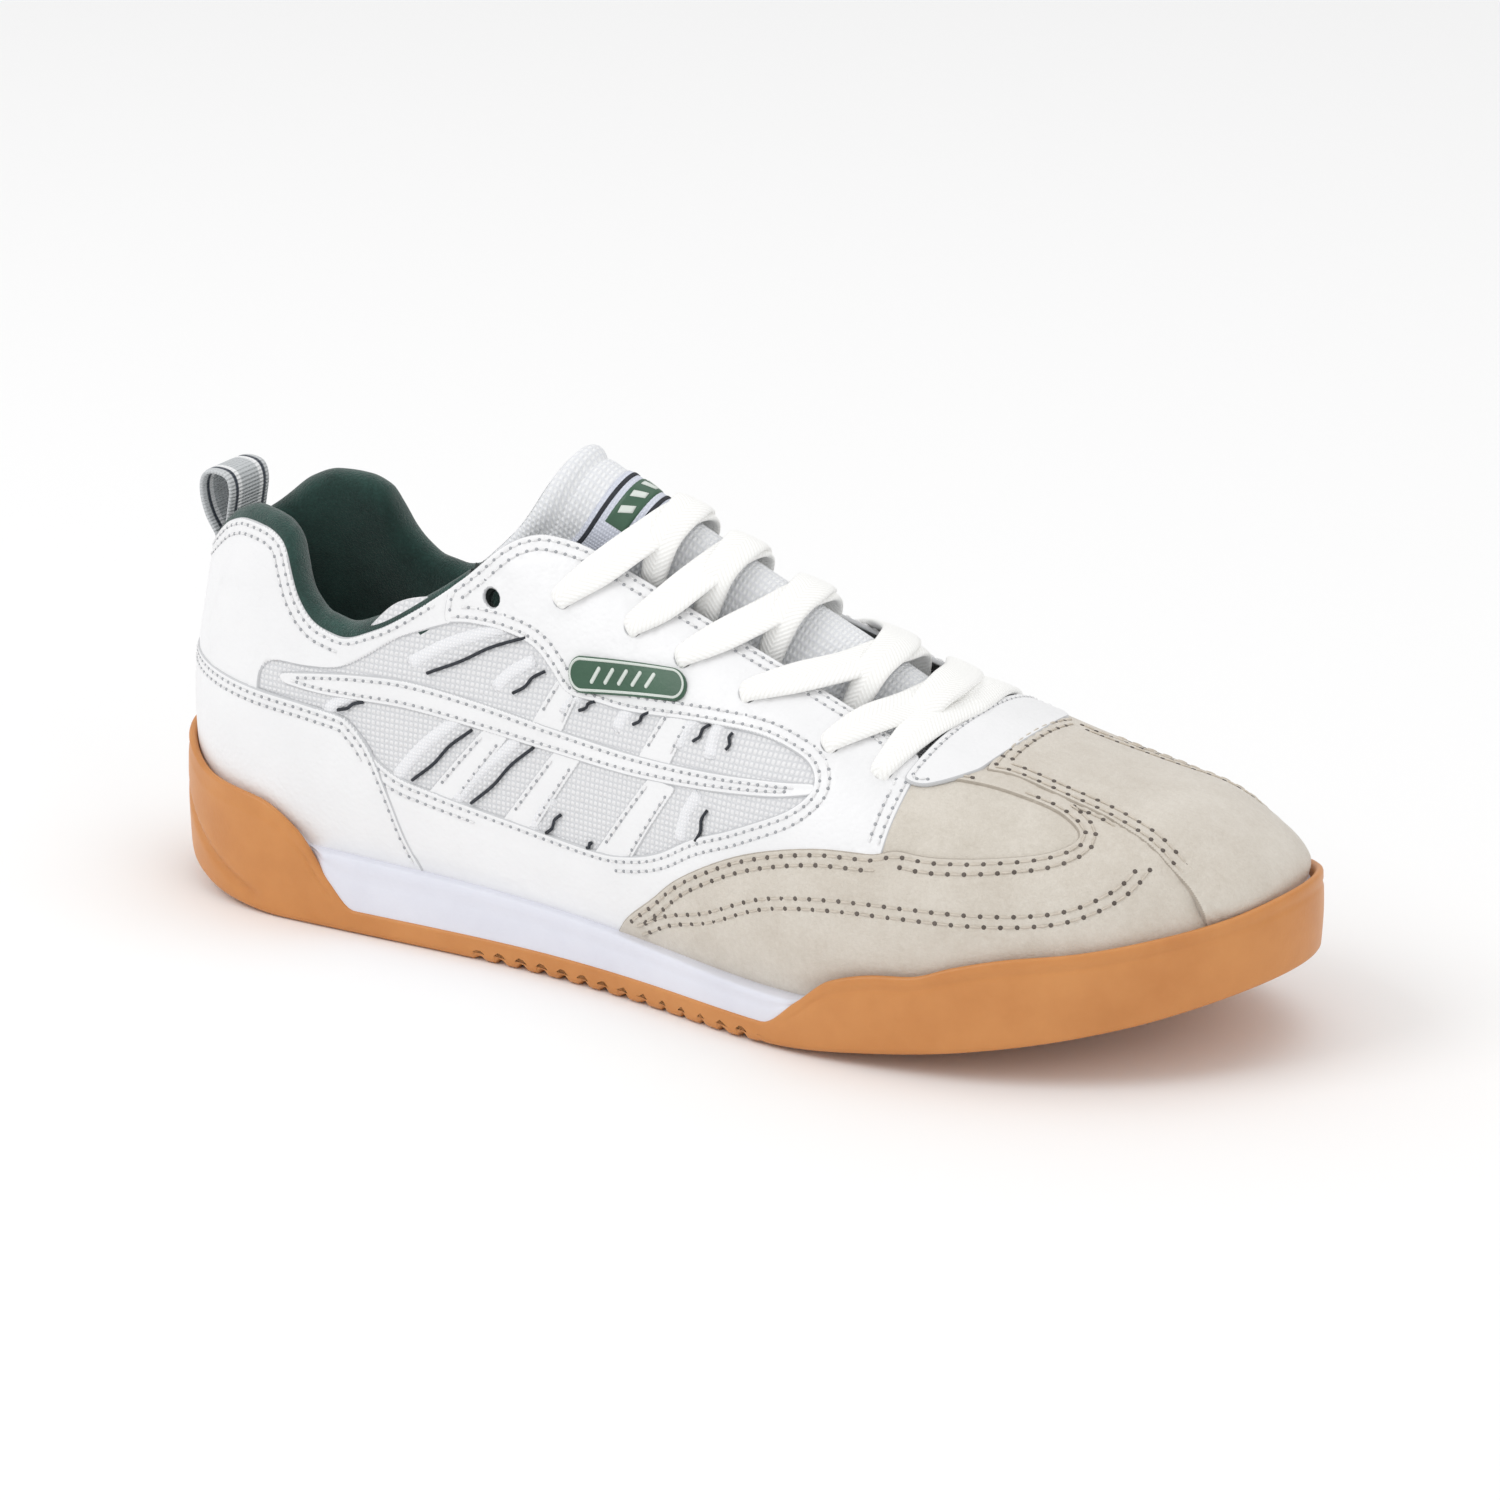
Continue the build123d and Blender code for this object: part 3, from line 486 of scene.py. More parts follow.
def stitch_line(kind, line, level, length=1.7, gap=0.75):
    """Points, normals and directions of the stitches along a chart line."""
    point, normal = chart_place(kind, line)
    at = point + level * normal
    run = np.concatenate([[0], np.cumsum(np.linalg.norm(np.diff(at, axis=0), axis=1))])
    pitch = length + gap
    made = []
    for k in range(int(run[-1] / pitch)):
        ends = []
        for distance in (k * pitch, k * pitch + length):
            ends.append([np.array([np.interp(distance, run, values[:, c]) for c in range(3)])
                         for values in (at, normal)])
        made.append((ends[0][0], ends[1][0], ends[0][1] + ends[1][1]))
    return made


# Rings of one thread: share of its length, share of its radius, lift over the surface
THREAD_RINGS = ((0.0, 0.25, -0.22), (0.14, 0.9, 0.02), (0.5, 1.0, 0.10), (0.86, 0.9, 0.02),
                (1.0, 0.25, -0.22))
THREAD_SIDES = 6
HOLE_SIDES = 7
THREAD_RADIUS = 0.27
LONGEST_STITCH = 4.0
SUEDE_STITCH = (3.0, 0.85)      # length and gap of the bolder seams on suede
SUEDE_HOLE = 0.58


def stitches(name, rows, materials, hole=0.42):
    """Threads, and discs of painted shade at the needle holes, along rows of stitch_line results, as one
    mesh.
    """
    points, faces, indices = [], [], []
    for start, end, normal in (stitch for row in rows for stitch in row):
        length = np.linalg.norm(end - start)
        if length > LONGEST_STITCH:
            continue
        run = (end - start) / (length + 1e-9)
        normal = normal / np.linalg.norm(normal)
        across = np.cross(normal, run)
        base = len(points)
        for share, size, lift in THREAD_RINGS:
            centre = start + share * (end - start) + lift * normal
            for k in range(THREAD_SIDES):
                angle = k * 2 * math.pi / THREAD_SIDES
                points.append(centre + size * THREAD_RADIUS
                              * (math.cos(angle) * across + math.sin(angle) * normal))
        rings = len(THREAD_RINGS)
        faces += [tuple(base + corner for corner in face)
                  for face in grid_faces(rings, THREAD_SIDES, close_columns=True, flip=False)]
        last = base + (rings - 1) * THREAD_SIDES
        faces += [tuple(base + k for k in range(THREAD_SIDES))[::-1],
                  tuple(last + k for k in range(THREAD_SIDES))]
        indices += [0] * ((rings - 1) * THREAD_SIDES + 2)
        # a small plug at each needle hole, in the second material: painted shade in the hole
        centre = end + 0.42 * run - 0.02 * normal
        base = len(points)
        points.append(centre + 0.05 * normal)
        for drop in (0.0, -0.5):
            for k in range(HOLE_SIDES):
                angle = k * 2 * math.pi / HOLE_SIDES
                points.append(centre + hole * (math.cos(angle) * across + math.sin(angle) * run) + drop
                              * normal)
        rim, foot = base + 1, base + 1 + HOLE_SIDES
        for k in range(HOLE_SIDES):
            n = (k + 1) % HOLE_SIDES
            faces += [(base, rim + k, rim + n), (rim + k, foot + k, foot + n, rim + n)]
        faces.append(tuple(foot + k for k in range(HOLE_SIDES))[::-1])
        indices += [1] * (2 * HOLE_SIDES + 1)
    return mesh(name, points, faces, materials, indices)


def row_lines(kind, loops, distances, keep=None):
    """Chart lines at true distances inside the loops' edges, cut where keep(x, v) says no."""
    lines = []
    for distance in distances:
        for i, loop in enumerate(loops):
            tree = tree_of(chart_place(kind, loop)[0])
            ring = offset(kind, loop, distance, 1.0 if i == 0 else -1.0)
            good = inside(ring, loops)
            good &= nearest(tree, chart_place(kind, ring)[0]) > 0.9 * distance
            if keep is not None:
                q, s = on_chart(kind, ring)
                good &= keep(along(q), s if kind == "top" else 1 - np.abs(s), i)
            if good.all():
                lines.append(np.vstack([ring, ring[:1]]))
                continue
            first = int(np.argmin(good))
            ring, good = np.roll(ring, -first, 0), np.roll(good, -first)
            piece = []
            for point, ok in list(zip(ring, good)) + [(None, False)]:
                if ok:
                    piece.append(point)
                else:
                    if len(piece) > 6:
                        lines.append(np.array(piece))
                    piece = []
    return lines


def circle(kind, x, v, radius, count=14):
    """Chart loop round a place on the skin."""
    centre = to_chart(kind, [(x, v)])[0]
    step = 0.5
    by_arc = np.linalg.norm(chart_place(kind, [centre + [step, 0]])[0]
                            - chart_place(kind, [centre - [step, 0]])[0]) / (2 * step)
    by_w = np.linalg.norm(chart_place(kind, [centre + [0, step]])[0]
                          - chart_place(kind, [centre - [0, step]])[0]) / (2 * step)
    angle = np.arange(count) * 2 * np.pi / count
    return centre + np.stack([radius / by_arc * np.cos(angle), radius / by_w * np.sin(angle)], 1)


# ---------------------------------------------------------------- materials


def linear(r, g, b):
    return tuple((c / 12.92 if c <= 0.04045 else ((c + 0.055) / 1.055)**2.4)
                 for c in (r / 255, g / 255, b / 255)) + (1.0,)


class Shade:
    """A material with a Principled shader and short names for its nodes."""

    def __init__(self, name, colour, roughness, **sockets):
        self.material = bpy.data.materials.new(name)
        self.material.use_nodes = True
        self.tree = self.material.node_tree
        self.shader = self.tree.nodes["Principled BSDF"]
        self.set(self.shader, "Base Color", linear(*colour))
        self.set(self.shader, "Roughness", roughness)
        for key, value in sockets.items():
            self.set(self.shader, key.replace("_", " "), value)
        self.place = self.node("ShaderNodeTexCoord").outputs["Object"]

    def node(self, kind, **settings):
        made = self.tree.nodes.new(kind)
        for key, value in settings.items():
            setattr(made, key, value)
        return made

    def set(self, node, socket, value):
        node.inputs[socket].default_value = value

    def link(self, a, b):
        self.tree.links.new(a, b)

    def noise(self, scale, detail=3.0, rough=0.55, where=None):
        made = self.node("ShaderNodeTexNoise")
        self.link(where or self.place, made.inputs["Vector"])
        self.set(made, "Scale", scale)
        self.set(made, "Detail", detail)
        self.set(made, "Roughness", rough)
        return made.outputs["Fac"]

    def cells(self, scale):
        made = self.node("ShaderNodeTexVoronoi", feature="SMOOTH_F1")
        self.link(self.place, made.inputs["Vector"])
        self.set(made, "Scale", scale)
        return made.outputs["Distance"]

    def math(self, operation, a, b=0.0, c=None):
        made = self.node("ShaderNodeMath", operation=operation)
        for socket, value in zip(made.inputs, (a, b) if c is None else (a, b, c)):
            if isinstance(value, (int, float)):
                socket.default_value = value
            else:
                self.link(value, socket)
        return made.outputs[0]

    def part(self, vector, axis):
        made = self.node("ShaderNodeSeparateXYZ")
        self.link(vector, made.inputs[0])
        return made.outputs[axis]

    def waves(self, value, pitch):
        """Ridges 0 to 1 along a coordinate, one every pitch."""
        return self.math("MULTIPLY_ADD", self.math("SINE", self.math("MULTIPLY", value, 2 * math.pi / pitch)),
                         0.5, 0.5)

    def ramp(self, value, stops):
        made = self.node("ShaderNodeValToRGB")
        self.link(value, made.inputs[0])
        elements = made.color_ramp.elements
        while len(elements) < len(stops):
            elements.new(0.5)
        for element, (position, colour) in zip(elements, stops):
            element.position = position
            element.color = linear(*colour)
        return made.outputs["Color"]

    def colour(self, value):
        self.link(value, self.shader.inputs["Base Color"])

    def bump(self, value, depth, strength=0.6):
        made = self.node("ShaderNodeBump")
        self.set(made, "Strength", strength)
        self.set(made, "Distance", depth)
        self.link(value, made.inputs["Height"])
        last = self.shader.inputs["Normal"].links
        if last:
            self.link(last[0].from_socket, made.inputs["Normal"])
        self.link(made.outputs["Normal"], self.shader.inputs["Normal"])


def leather_shade(name, colour, grain=900.0):
    shade = Shade(name, colour, 0.42, Coat_Weight=0.08, Coat_Roughness=0.35)
    r, g, b = colour
    shade.colour(shade.ramp(shade.noise(35.0, 4.0),
                            [(0.3, (r - 5, g - 5, b - 5)), (0.7, (r + 1, g + 1, b + 1))]))
    shade.bump(shade.cells(grain), 0.0003, 0.35)
    shade.bump(shade.noise(160.0, 4.0), 0.0008, 0.25)
    return shade.material


def suede_shade(name, light, dark):
    shade = Shade(name, light, 0.95, Sheen_Weight=0.35, Sheen_Roughness=0.5)
    mottle = shade.math("MULTIPLY_ADD", shade.noise(70.0, 6.0, 0.7), 0.6,
                        shade.math("MULTIPLY", shade.noise(900.0, 3.0, 0.8), 0.4))
    shade.colour(shade.ramp(mottle, [(0.34, dark), (0.62, light)]))
    shade.bump(shade.noise(1500.0, 4.0, 0.8), 0.0004, 0.7)
    shade.bump(shade.noise(260.0, 4.0, 0.7), 0.0006, 0.25)
    return shade.material


def weave_shade(name, light, dark, pitch, depth=0.0004, flat=False):
    """Woven cloth over x and z, or over the mesh's own UV where flat."""
    shade = Shade(name, light, 0.85, Sheen_Weight=0.2)
    where = shade.node("ShaderNodeTexCoord").outputs["UV"] if flat else shade.place
    a, b = shade.part(where, "X"), shade.part(where, "Y" if flat else "Z")
    over = shade.math("MULTIPLY", shade.waves(a, pitch), shade.waves(b, pitch))
    threads_and_gap_shade = shade.math("MULTIPLY_ADD", shade.noise(2500.0, 2.0), 0.25, over)
    # The thread pattern is real; its darker gaps between the threads are painted shade.
    shade.colour(shade.ramp(threads_and_gap_shade, [(0.08, dark), (0.5, light)]))
    shade.bump(threads_and_gap_shade, depth, 0.8)
    return shade.material


def pile_shade(name, light, dark):
    shade = Shade(name, light, 0.95, Sheen_Weight=0.45, Sheen_Roughness=0.45)
    nap = shade.math("MULTIPLY_ADD", shade.noise(1400.0, 3.0, 0.8), 0.55,
                     shade.math("MULTIPLY", shade.noise(120.0, 4.0), 0.45))
    shade.colour(shade.ramp(nap, [(0.35, dark), (0.65, light)]))
    shade.bump(shade.noise(1800.0, 3.0, 0.8), 0.0006, 0.8)
    return shade.material


def moulded_shade(name, light, dark, roughness, scale=60.0, bump=0.00015, **sockets):
    shade = Shade(name, light, roughness, **sockets)
    shade.colour(shade.ramp(shade.noise(scale, 5.0), [(0.3, dark), (0.7, light)]))
    shade.bump(shade.noise(1100.0, 3.0), bump, 0.4)
    return shade.material


def lace_shade(name):
    """Flat woven cord: a fine herringbone from the strip's own UV, in metres along and across."""
    shade = Shade(name, (250, 249, 246), 0.9, Sheen_Weight=0.3)
    uv = shade.node("ShaderNodeTexCoord").outputs["UV"]
    run, across = shade.part(uv, "X"), shade.part(uv, "Y")
    slant = shade.math("ADD", run, shade.math("MULTIPLY", shade.math("ABSOLUTE", across), 0.9))
    threads_and_gap_shade = shade.math("MULTIPLY", shade.waves(slant, 0.0012),
                         shade.math("MULTIPLY_ADD", shade.waves(across, 0.0008), 0.5, 0.5))
    # The herringbone is real; its darker grooves are painted shade.
    shade.colour(shade.ramp(threads_and_gap_shade, [(0.0, (245, 244, 241)), (0.5, (254, 254, 252))]))
    shade.bump(threads_and_gap_shade, 0.00025, 0.45)
    return shade.material


def webbing_shade(name):
    """Grey webbing with a white and a dark line near each edge, across the loop's width."""
    shade = Shade(name, (176, 180, 184), 0.85, Sheen_Weight=0.2)
    uv = shade.node("ShaderNodeTexCoord").outputs["UV"]
    across = shade.math("ABSOLUTE", shade.part(uv, "Y"))
    bands = shade.math("MULTIPLY", across, 100.0)
    colour = shade.ramp(bands, [(0.0, (196, 200, 202)), (0.36, (196, 200, 202)), (0.40, (244, 245, 246)),
                                (0.52, (244, 245, 246)),
                                (0.55, (52, 60, 72)), (0.64, (52, 60, 72)), (0.68, (206, 209, 211))])
    shade.colour(colour)
    ribs = shade.math("MULTIPLY", shade.waves(shade.part(uv, "X"), 0.0009),
                      shade.math("MULTIPLY_ADD", shade.waves(shade.part(uv, "Y"), 0.0013), 0.5, 0.5))
    shade.bump(ribs, 0.0004, 0.8)
    return shade.material


WHITE = leather_shade("white_leather", (241, 241, 242))
SUEDE = suede_shade("suede", (222, 215, 204), (206, 197, 184))
SUEDE_LIGHT = suede_shade("suede_light", (222, 215, 204), (205, 197, 184))
GUM = moulded_shade("gum_rubber", (208, 141, 78), (196, 128, 66), 0.42, Subsurface_Weight=0.08,
                    Subsurface_Radius=(0.004, 0.002, 0.001))
FOAM_WHITE = moulded_shade("midsole_foam", (228, 229, 238), (221, 222, 232), 0.55)
MESH = weave_shade("mesh_fabric", (243, 243, 244), (208, 209, 212), 0.00135, 0.0004)
RIB = weave_shade("rib_fabric", (247, 247, 249), (230, 231, 234), 0.0009, 0.0002)
PILE = pile_shade("green_pile", (44, 82, 74), (24, 52, 47))
TONGUE_CLOTH = weave_shade("tongue_weave", (244, 245, 246), (222, 224, 228), 0.0011, 0.0003, True)
LINING_CLOTH = weave_shade("lining_fabric", (232, 233, 234), (205, 207, 209), 0.0012, 0.0003)
# The eyelet tapes are dark so that the eyelet holes show painted shade.
TAPE_HOLE_SHADE = moulded_shade("eyelet_tape", (70, 78, 75), (56, 63, 61), 0.8)
STIFF = moulded_shade("stiffener", (216, 206, 190), (196, 184, 166), 0.7, 120.0)
BOARD = moulded_shade("board", (208, 190, 160), (188, 168, 136), 0.85, 400.0, 0.0004)
SOCK = pile_shade("sock_fabric", (52, 92, 82), (32, 62, 55))
LACE = lace_shade("lace_fabric")
AGLET = moulded_shade("aglet_plastic", (232, 234, 236), (222, 224, 228), 0.2)
BADGE_GREEN = moulded_shade("badge_green", (62, 98, 76), (50, 84, 64), 0.35)
BADGE_PALE = moulded_shade("badge_pale", (222, 228, 222), (208, 216, 209), 0.35)
WEBBING = webbing_shade("webbing")
LABEL = weave_shade("label_fabric", (222, 226, 238), (204, 208, 222), 0.0007, 0.0002, True)
BLACK_THREAD = moulded_shade("black_thread", (52, 56, 64), (30, 33, 40), 0.7, 900.0)
THREAD = moulded_shade("white_thread", (244, 244, 244), (228, 228, 229), 0.7, 900.0)
# Needle holes are discs of painted shade: grey on white leather, dark on suede.
HOLE_SHADE_GREY = moulded_shade("needle_hole_shade_grey", (176, 178, 182), (158, 160, 164), 0.9)
THREAD_SUEDE = moulded_shade("suede_thread", (214, 205, 192), (196, 187, 174), 0.75, 900.0)
HOLE_SHADE_DARK = moulded_shade("needle_hole_shade_dark", (112, 104, 98), (92, 84, 78), 0.95)

# Darker copies of the leathers for the panels' edges: the raw cut edge, and painted shade along the seams.
WHITE_CUT_EDGE_SHADE = leather_shade("white_leather_cut_edge_shade", (205, 206, 208))
SUEDE_CUT_EDGE_SHADE = suede_shade("suede_cut_edge_shade", (190, 181, 168), (164, 154, 141))
LEATHER = [WHITE, WHITE_CUT_EDGE_SHADE]
NUBUCK = [SUEDE, SUEDE_CUT_EDGE_SHADE]

NODE_SHADES = {
    "heel_counter": STIFF, "toe_puff": STIFF, "eyelet_tape_outer": TAPE_HOLE_SHADE, "eyelet_tape_inner": TAPE_HOLE_SHADE,
    "vamp_lining": LINING_CLOTH, "quarter_lining_outer": PILE, "quarter_lining_inner": PILE,
    "insole_board": BOARD, "sockliner": SOCK, "aglets": AGLET,
}
for node_name, shade_of_node in NODE_SHADES.items():
    node_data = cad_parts[node_name].data
    node_data.materials.clear()
    node_data.materials.append(shade_of_node)

# ---------------------------------------------------------------- panels of the upper

SIDES = (("outer", -1), ("inner", 1))
ROW = (1.6, 3.9)            # a double row of stitches: distances from the edge
CAGE_ROW = (1.5,)
STRUT_ROW = (1.3,)
FOXING_ROW = (1.6, 3.6)

# Levels of the panels' tops over the skin
OVERLAY, MESH_LEVEL, CAGE, STRUT = 0.0, -0.95, -0.08, -0.25
GUARD, INSERT, TOE_CAP, BRIDGE = 0.35, -0.6, 0.75, 0.95
HEEL_COLLAR, FOXING = -0.1, 0.35

# Outlines on one side, (x, v)
SEAM_TOP = ((80, 0.785), (86, 0.805), (97, 0.79), (108, 0.76), (115, 0.72), (122, 0.66), (127, 0.59),
            (132, 0.50),
            (136, 0.33), (138, 0.12), (139, 0.0))
GUARD_TOP = ((-9, 0.0), (-5, 0.06), (3, 0.13), (11, 0.20), (24, 0.28), (36, 0.34), (51, 0.40), (64, 0.435))
GUARD_RUNS = (GUARD_TOP + ((66.5, 0.447),),
              ((66.5, 0.447), (70, 0.468), (78, 0.478), (90, 0.515), (102, 0.573), (107, 0.64), (105, 0.69),
               (98, 0.735), (86, 0.745), (77, 0.725), (69, 0.69), (66, 0.70)),
              ((66, 0.70), (67, 0.75), (74, 0.79), (80, 0.81), (88, 0.84)),
              ((88, 0.84), (98, 0.82), (110, 0.79), (118, 0.74), (125, 0.67), (131, 0.58), (136, 0.46),
               (140, 0.25),
               (142, 0.0)),
              ((142, 0.0), (-9, 0.0)))
GUARD_SECOND = ((-2, 0.045), (8, 0.105), (20, 0.15), (37, 0.235), (56, 0.29), (74, 0.32), (97, 0.345),
                (109, 0.375), (116, 0.43), (120, 0.50), (122, 0.60))
INSERT_RUN = ((61, 0.45), (62, 0.60), (66, 0.72), (76, 0.775), (98, 0.775), (110, 0.72), (112, 0.62),
              (104, 0.53),
              (88, 0.47), (74, 0.43), (61, 0.43), (61, 0.45))
WINDOW = ((-62, 0.50), (-54, 0.525), (-45, 0.54), (-37, 0.538), (-31, 0.51), (-26, 0.48), (-17, 0.487),
          (-6, 0.50),
          (14, 0.55), (29, 0.588), (38, 0.592), (43, 0.583), (45.5, 0.555), (45.5, 0.515), (40, 0.445),
          (27, 0.36),
          (15, 0.30), (5, 0.24), (-5, 0.205), (-16, 0.19), (-45, 0.192), (-64, 0.195), (-72, 0.20),
          (-79, 0.222),
          (-86, 0.255), (-92, 0.262))
MESH_RUNS = (((-119, 0.30), (-98, 0.355), (-86, 0.405), (-76, 0.49), (-66, 0.535), (-60, 0.55), (-50, 0.565),
              (-40, 0.565), (-30, 0.56), (0, 0.58), (30, 0.615), (52, 0.61)),
             ((52, 0.61), (54, 0.50), (46, 0.40), (30, 0.31), (12, 0.22), (0, 0.17), (-20, 0.155),
              (-70, 0.16),
              (-84, 0.19), (-100, 0.22), (-119, 0.24)),
             ((-119, 0.24), (-119, 0.30)))
RAIL_TOP = ((-108, 0.30), (-96, 0.325), (-84, 0.35), (-70, 0.375), (-50, 0.395), (-28, 0.405), (-4, 0.42),
            (18, 0.455), (36, 0.505), (47, 0.55))
RAIL_LOW = ((47, 0.515), (36, 0.462), (18, 0.41), (-4, 0.372), (-28, 0.355), (-50, 0.343), (-70, 0.325),
            (-84, 0.305), (-96, 0.29), (-108, 0.285))

# Slanted pieces on the mesh: x and v at the lower end, x and v at the upper end, and a strut's half width
STRUTS = ((-31, 0.385, -25, 0.51, 4.6), (1, 0.41, 7, 0.56, 4.8), (-60, 0.175, -44, 0.355, 4.6),
          (-38, 0.17, -23, 0.37, 5.0), (-10, 0.175, 5, 0.39, 5.4))
PIPING = ((-93, 0.265, -84, 0.315), (-72.5, 0.195, -55, 0.35), (-55.5, 0.19, -38, 0.355),
          (-70, 0.405, -45, 0.55),
          (-46, 0.43, -36, 0.515), (-33, 0.185, -27, 0.27), (-27, 0.44, -20, 0.505), (-11, 0.45, -5, 0.53),
          (7, 0.47, 12, 0.565), (17, 0.48, 18, 0.58), (11, 0.28, 15.5, 0.40))
CORDS = ((-64.8, 0.403, -39.3, 0.549), (-40.7, 0.437, -32.7, 0.503), (-89.3, 0.278, -82.1, 0.308),
         (-67.6, 0.202, -51.1, 0.339), (-50.6, 0.198, -33.3, 0.353), (-28.7, 0.19, -24.4, 0.24),
         (-21.7, 0.458, -17.6, 0.489), (-6, 0.477, -2.1, 0.516), (11.6, 0.50, 15.2, 0.553),
         (21.1, 0.517, 21.8, 0.561), (16.2, 0.298, 18.9, 0.372), (-16.5, 0.19, -15, 0.205))
PIPING_SECTION = ((-1.9, -1.1), (-1.5, -0.62), (-0.6, -0.28), (0.6, -0.28), (1.5, -0.62), (1.9, -1.1))
CORD_RADIUS = 0.42
CORD_SIDES = 6


def chart_runs(kind, runs, **options):
    return closed_outline([to_chart(kind, run) for run in runs], **options)


def rim_run(start, end, step=3.0):
    count = int(abs(end - start) / step) + 2
    return [(float(x), float(RIM(x))) for x in np.linspace(start, end, count)]


def below(line, x, v):
    """Which places lie under a line of (x, v) points."""
    return v < np.interp(x, *np.array(sorted(line)).T)


def sew(name, kind, lines, level, slot="white_leather"):
    """Rows of stitches along chart lines, on a panel of that level."""
    if slot == "suede":
        rows = [stitch_line(kind, line, level - 0.03, *SUEDE_STITCH) for line in lines]
        return dress(stitches(name, rows, [THREAD_SUEDE, HOLE_SHADE_DARK], SUEDE_HOLE))
    rows = [stitch_line(kind, line, level - 0.02) for line in lines]
    return dress(stitches(name, rows, [THREAD, HOLE_SHADE_GREY]))


def overlay_loops(kind):
    """White overlay: eyestay, front of the window and side foxing in one sheet, with its eyelets."""
    runs = [rim_run(-62, 66), [(66, 0.75), (67.5, 0.68), (67.5, 0.60), (67, 0.50), (66.5, 0.40)],
            [(66, 0.40), (51, 0.35), (36, 0.29), (24, 0.23), (11, 0.15), (3, 0.08), (-3, 0.0)],
            [(-3, 0.0), (-71, 0.0)],
            [(-71, 0.0), (-76, 0.08), (-80, 0.15), (-85, 0.20), (-92, 0.235), (-92, 0.262)], WINDOW[::-1],
            [(-62, 0.50), (-62, 0.56)]]
    return [chart_runs(kind, runs)] + [circle(kind, x, v, EYELET_RADIUS) for x, v in EYELETS]


def overlay_keep(x, v, index):
    """The overlay's rows run along the throat, the window and the front end, not along hidden edges."""
    throat = (v > RIM(x) - 0.10) & (x > -60) & (x < 63)
    window = (v > 0.16) & (v < 0.64) & (x > -78) & (x < 53)
    hidden = (x > -4) & below(GUARD_TOP, x, v - 0.02)
    front = (x > 60) & (v > 0.46) & (v < 0.67)
    return (index == 0) & (throat | front | (window & ~hidden))


def strut_keep(low, high):
    """A strut's rows stop short of its ends and of the rail."""

    def keep(x, v, index):
        clear = below(RAIL_LOW, x, v + 0.01) | ~below(RAIL_TOP, x, v - 0.01)
        return (v > low + 0.02) & (v < high - 0.02) & (v > 0.205) & (v < 0.585) & clear

    return keep


def guard_keep(x, v, index):
    """The mudguard's rows follow its upper edge and its opening."""
    upper = (x < 67) & (v < 0.47) & (v > 0.02) & ~below(GUARD_TOP, x, v + 0.09)
    return upper | ((x >= 67) & (x < 113) & (v > 0.42) & (v < 0.745 + (x - 70) * 0.0009))


def piping_rings(kind, x0, v0, x1, v1):
    """Low rib along a slanted line on the mesh."""
    line = run_through(to_chart(kind, [(x0, v0), ((x0 + x1) / 2 - 1, (v0 + v1) / 2), (x1, v1)]), 1.5)
    sides = []
    for away, height in PIPING_SECTION:
        at, normal = chart_place(kind, offset(kind, line, away, closed=False))
        sides.append(at + height * normal)
    return np.stack(sides, 1)


def cord_rings(kind, x0, v0, x1, v1):
    """Round cord along a slightly wavy line on the mesh."""
    third = (x0 * 0.67 + x1 * 0.33 + 0.5, v0 * 0.67 + v1 * 0.33)
    two_thirds = (x0 * 0.33 + x1 * 0.67 - 0.5, v0 * 0.33 + v1 * 0.67)
    at, normal = chart_place(kind, run_through(to_chart(kind, [(x0, v0), third, two_thirds, (x1, v1)]), 0.8))
    at = at - 0.25 * normal
    run = np.gradient(at, axis=0)
    run /= np.linalg.norm(run, axis=1)[:, None]
    across = np.cross(normal, run)
    turns = [k * 2 * math.pi / CORD_SIDES for k in range(CORD_SIDES)]
    return np.stack([at + CORD_RADIUS * (math.cos(turn) * across + math.sin(turn) * normal)
                     for turn in turns], 1)


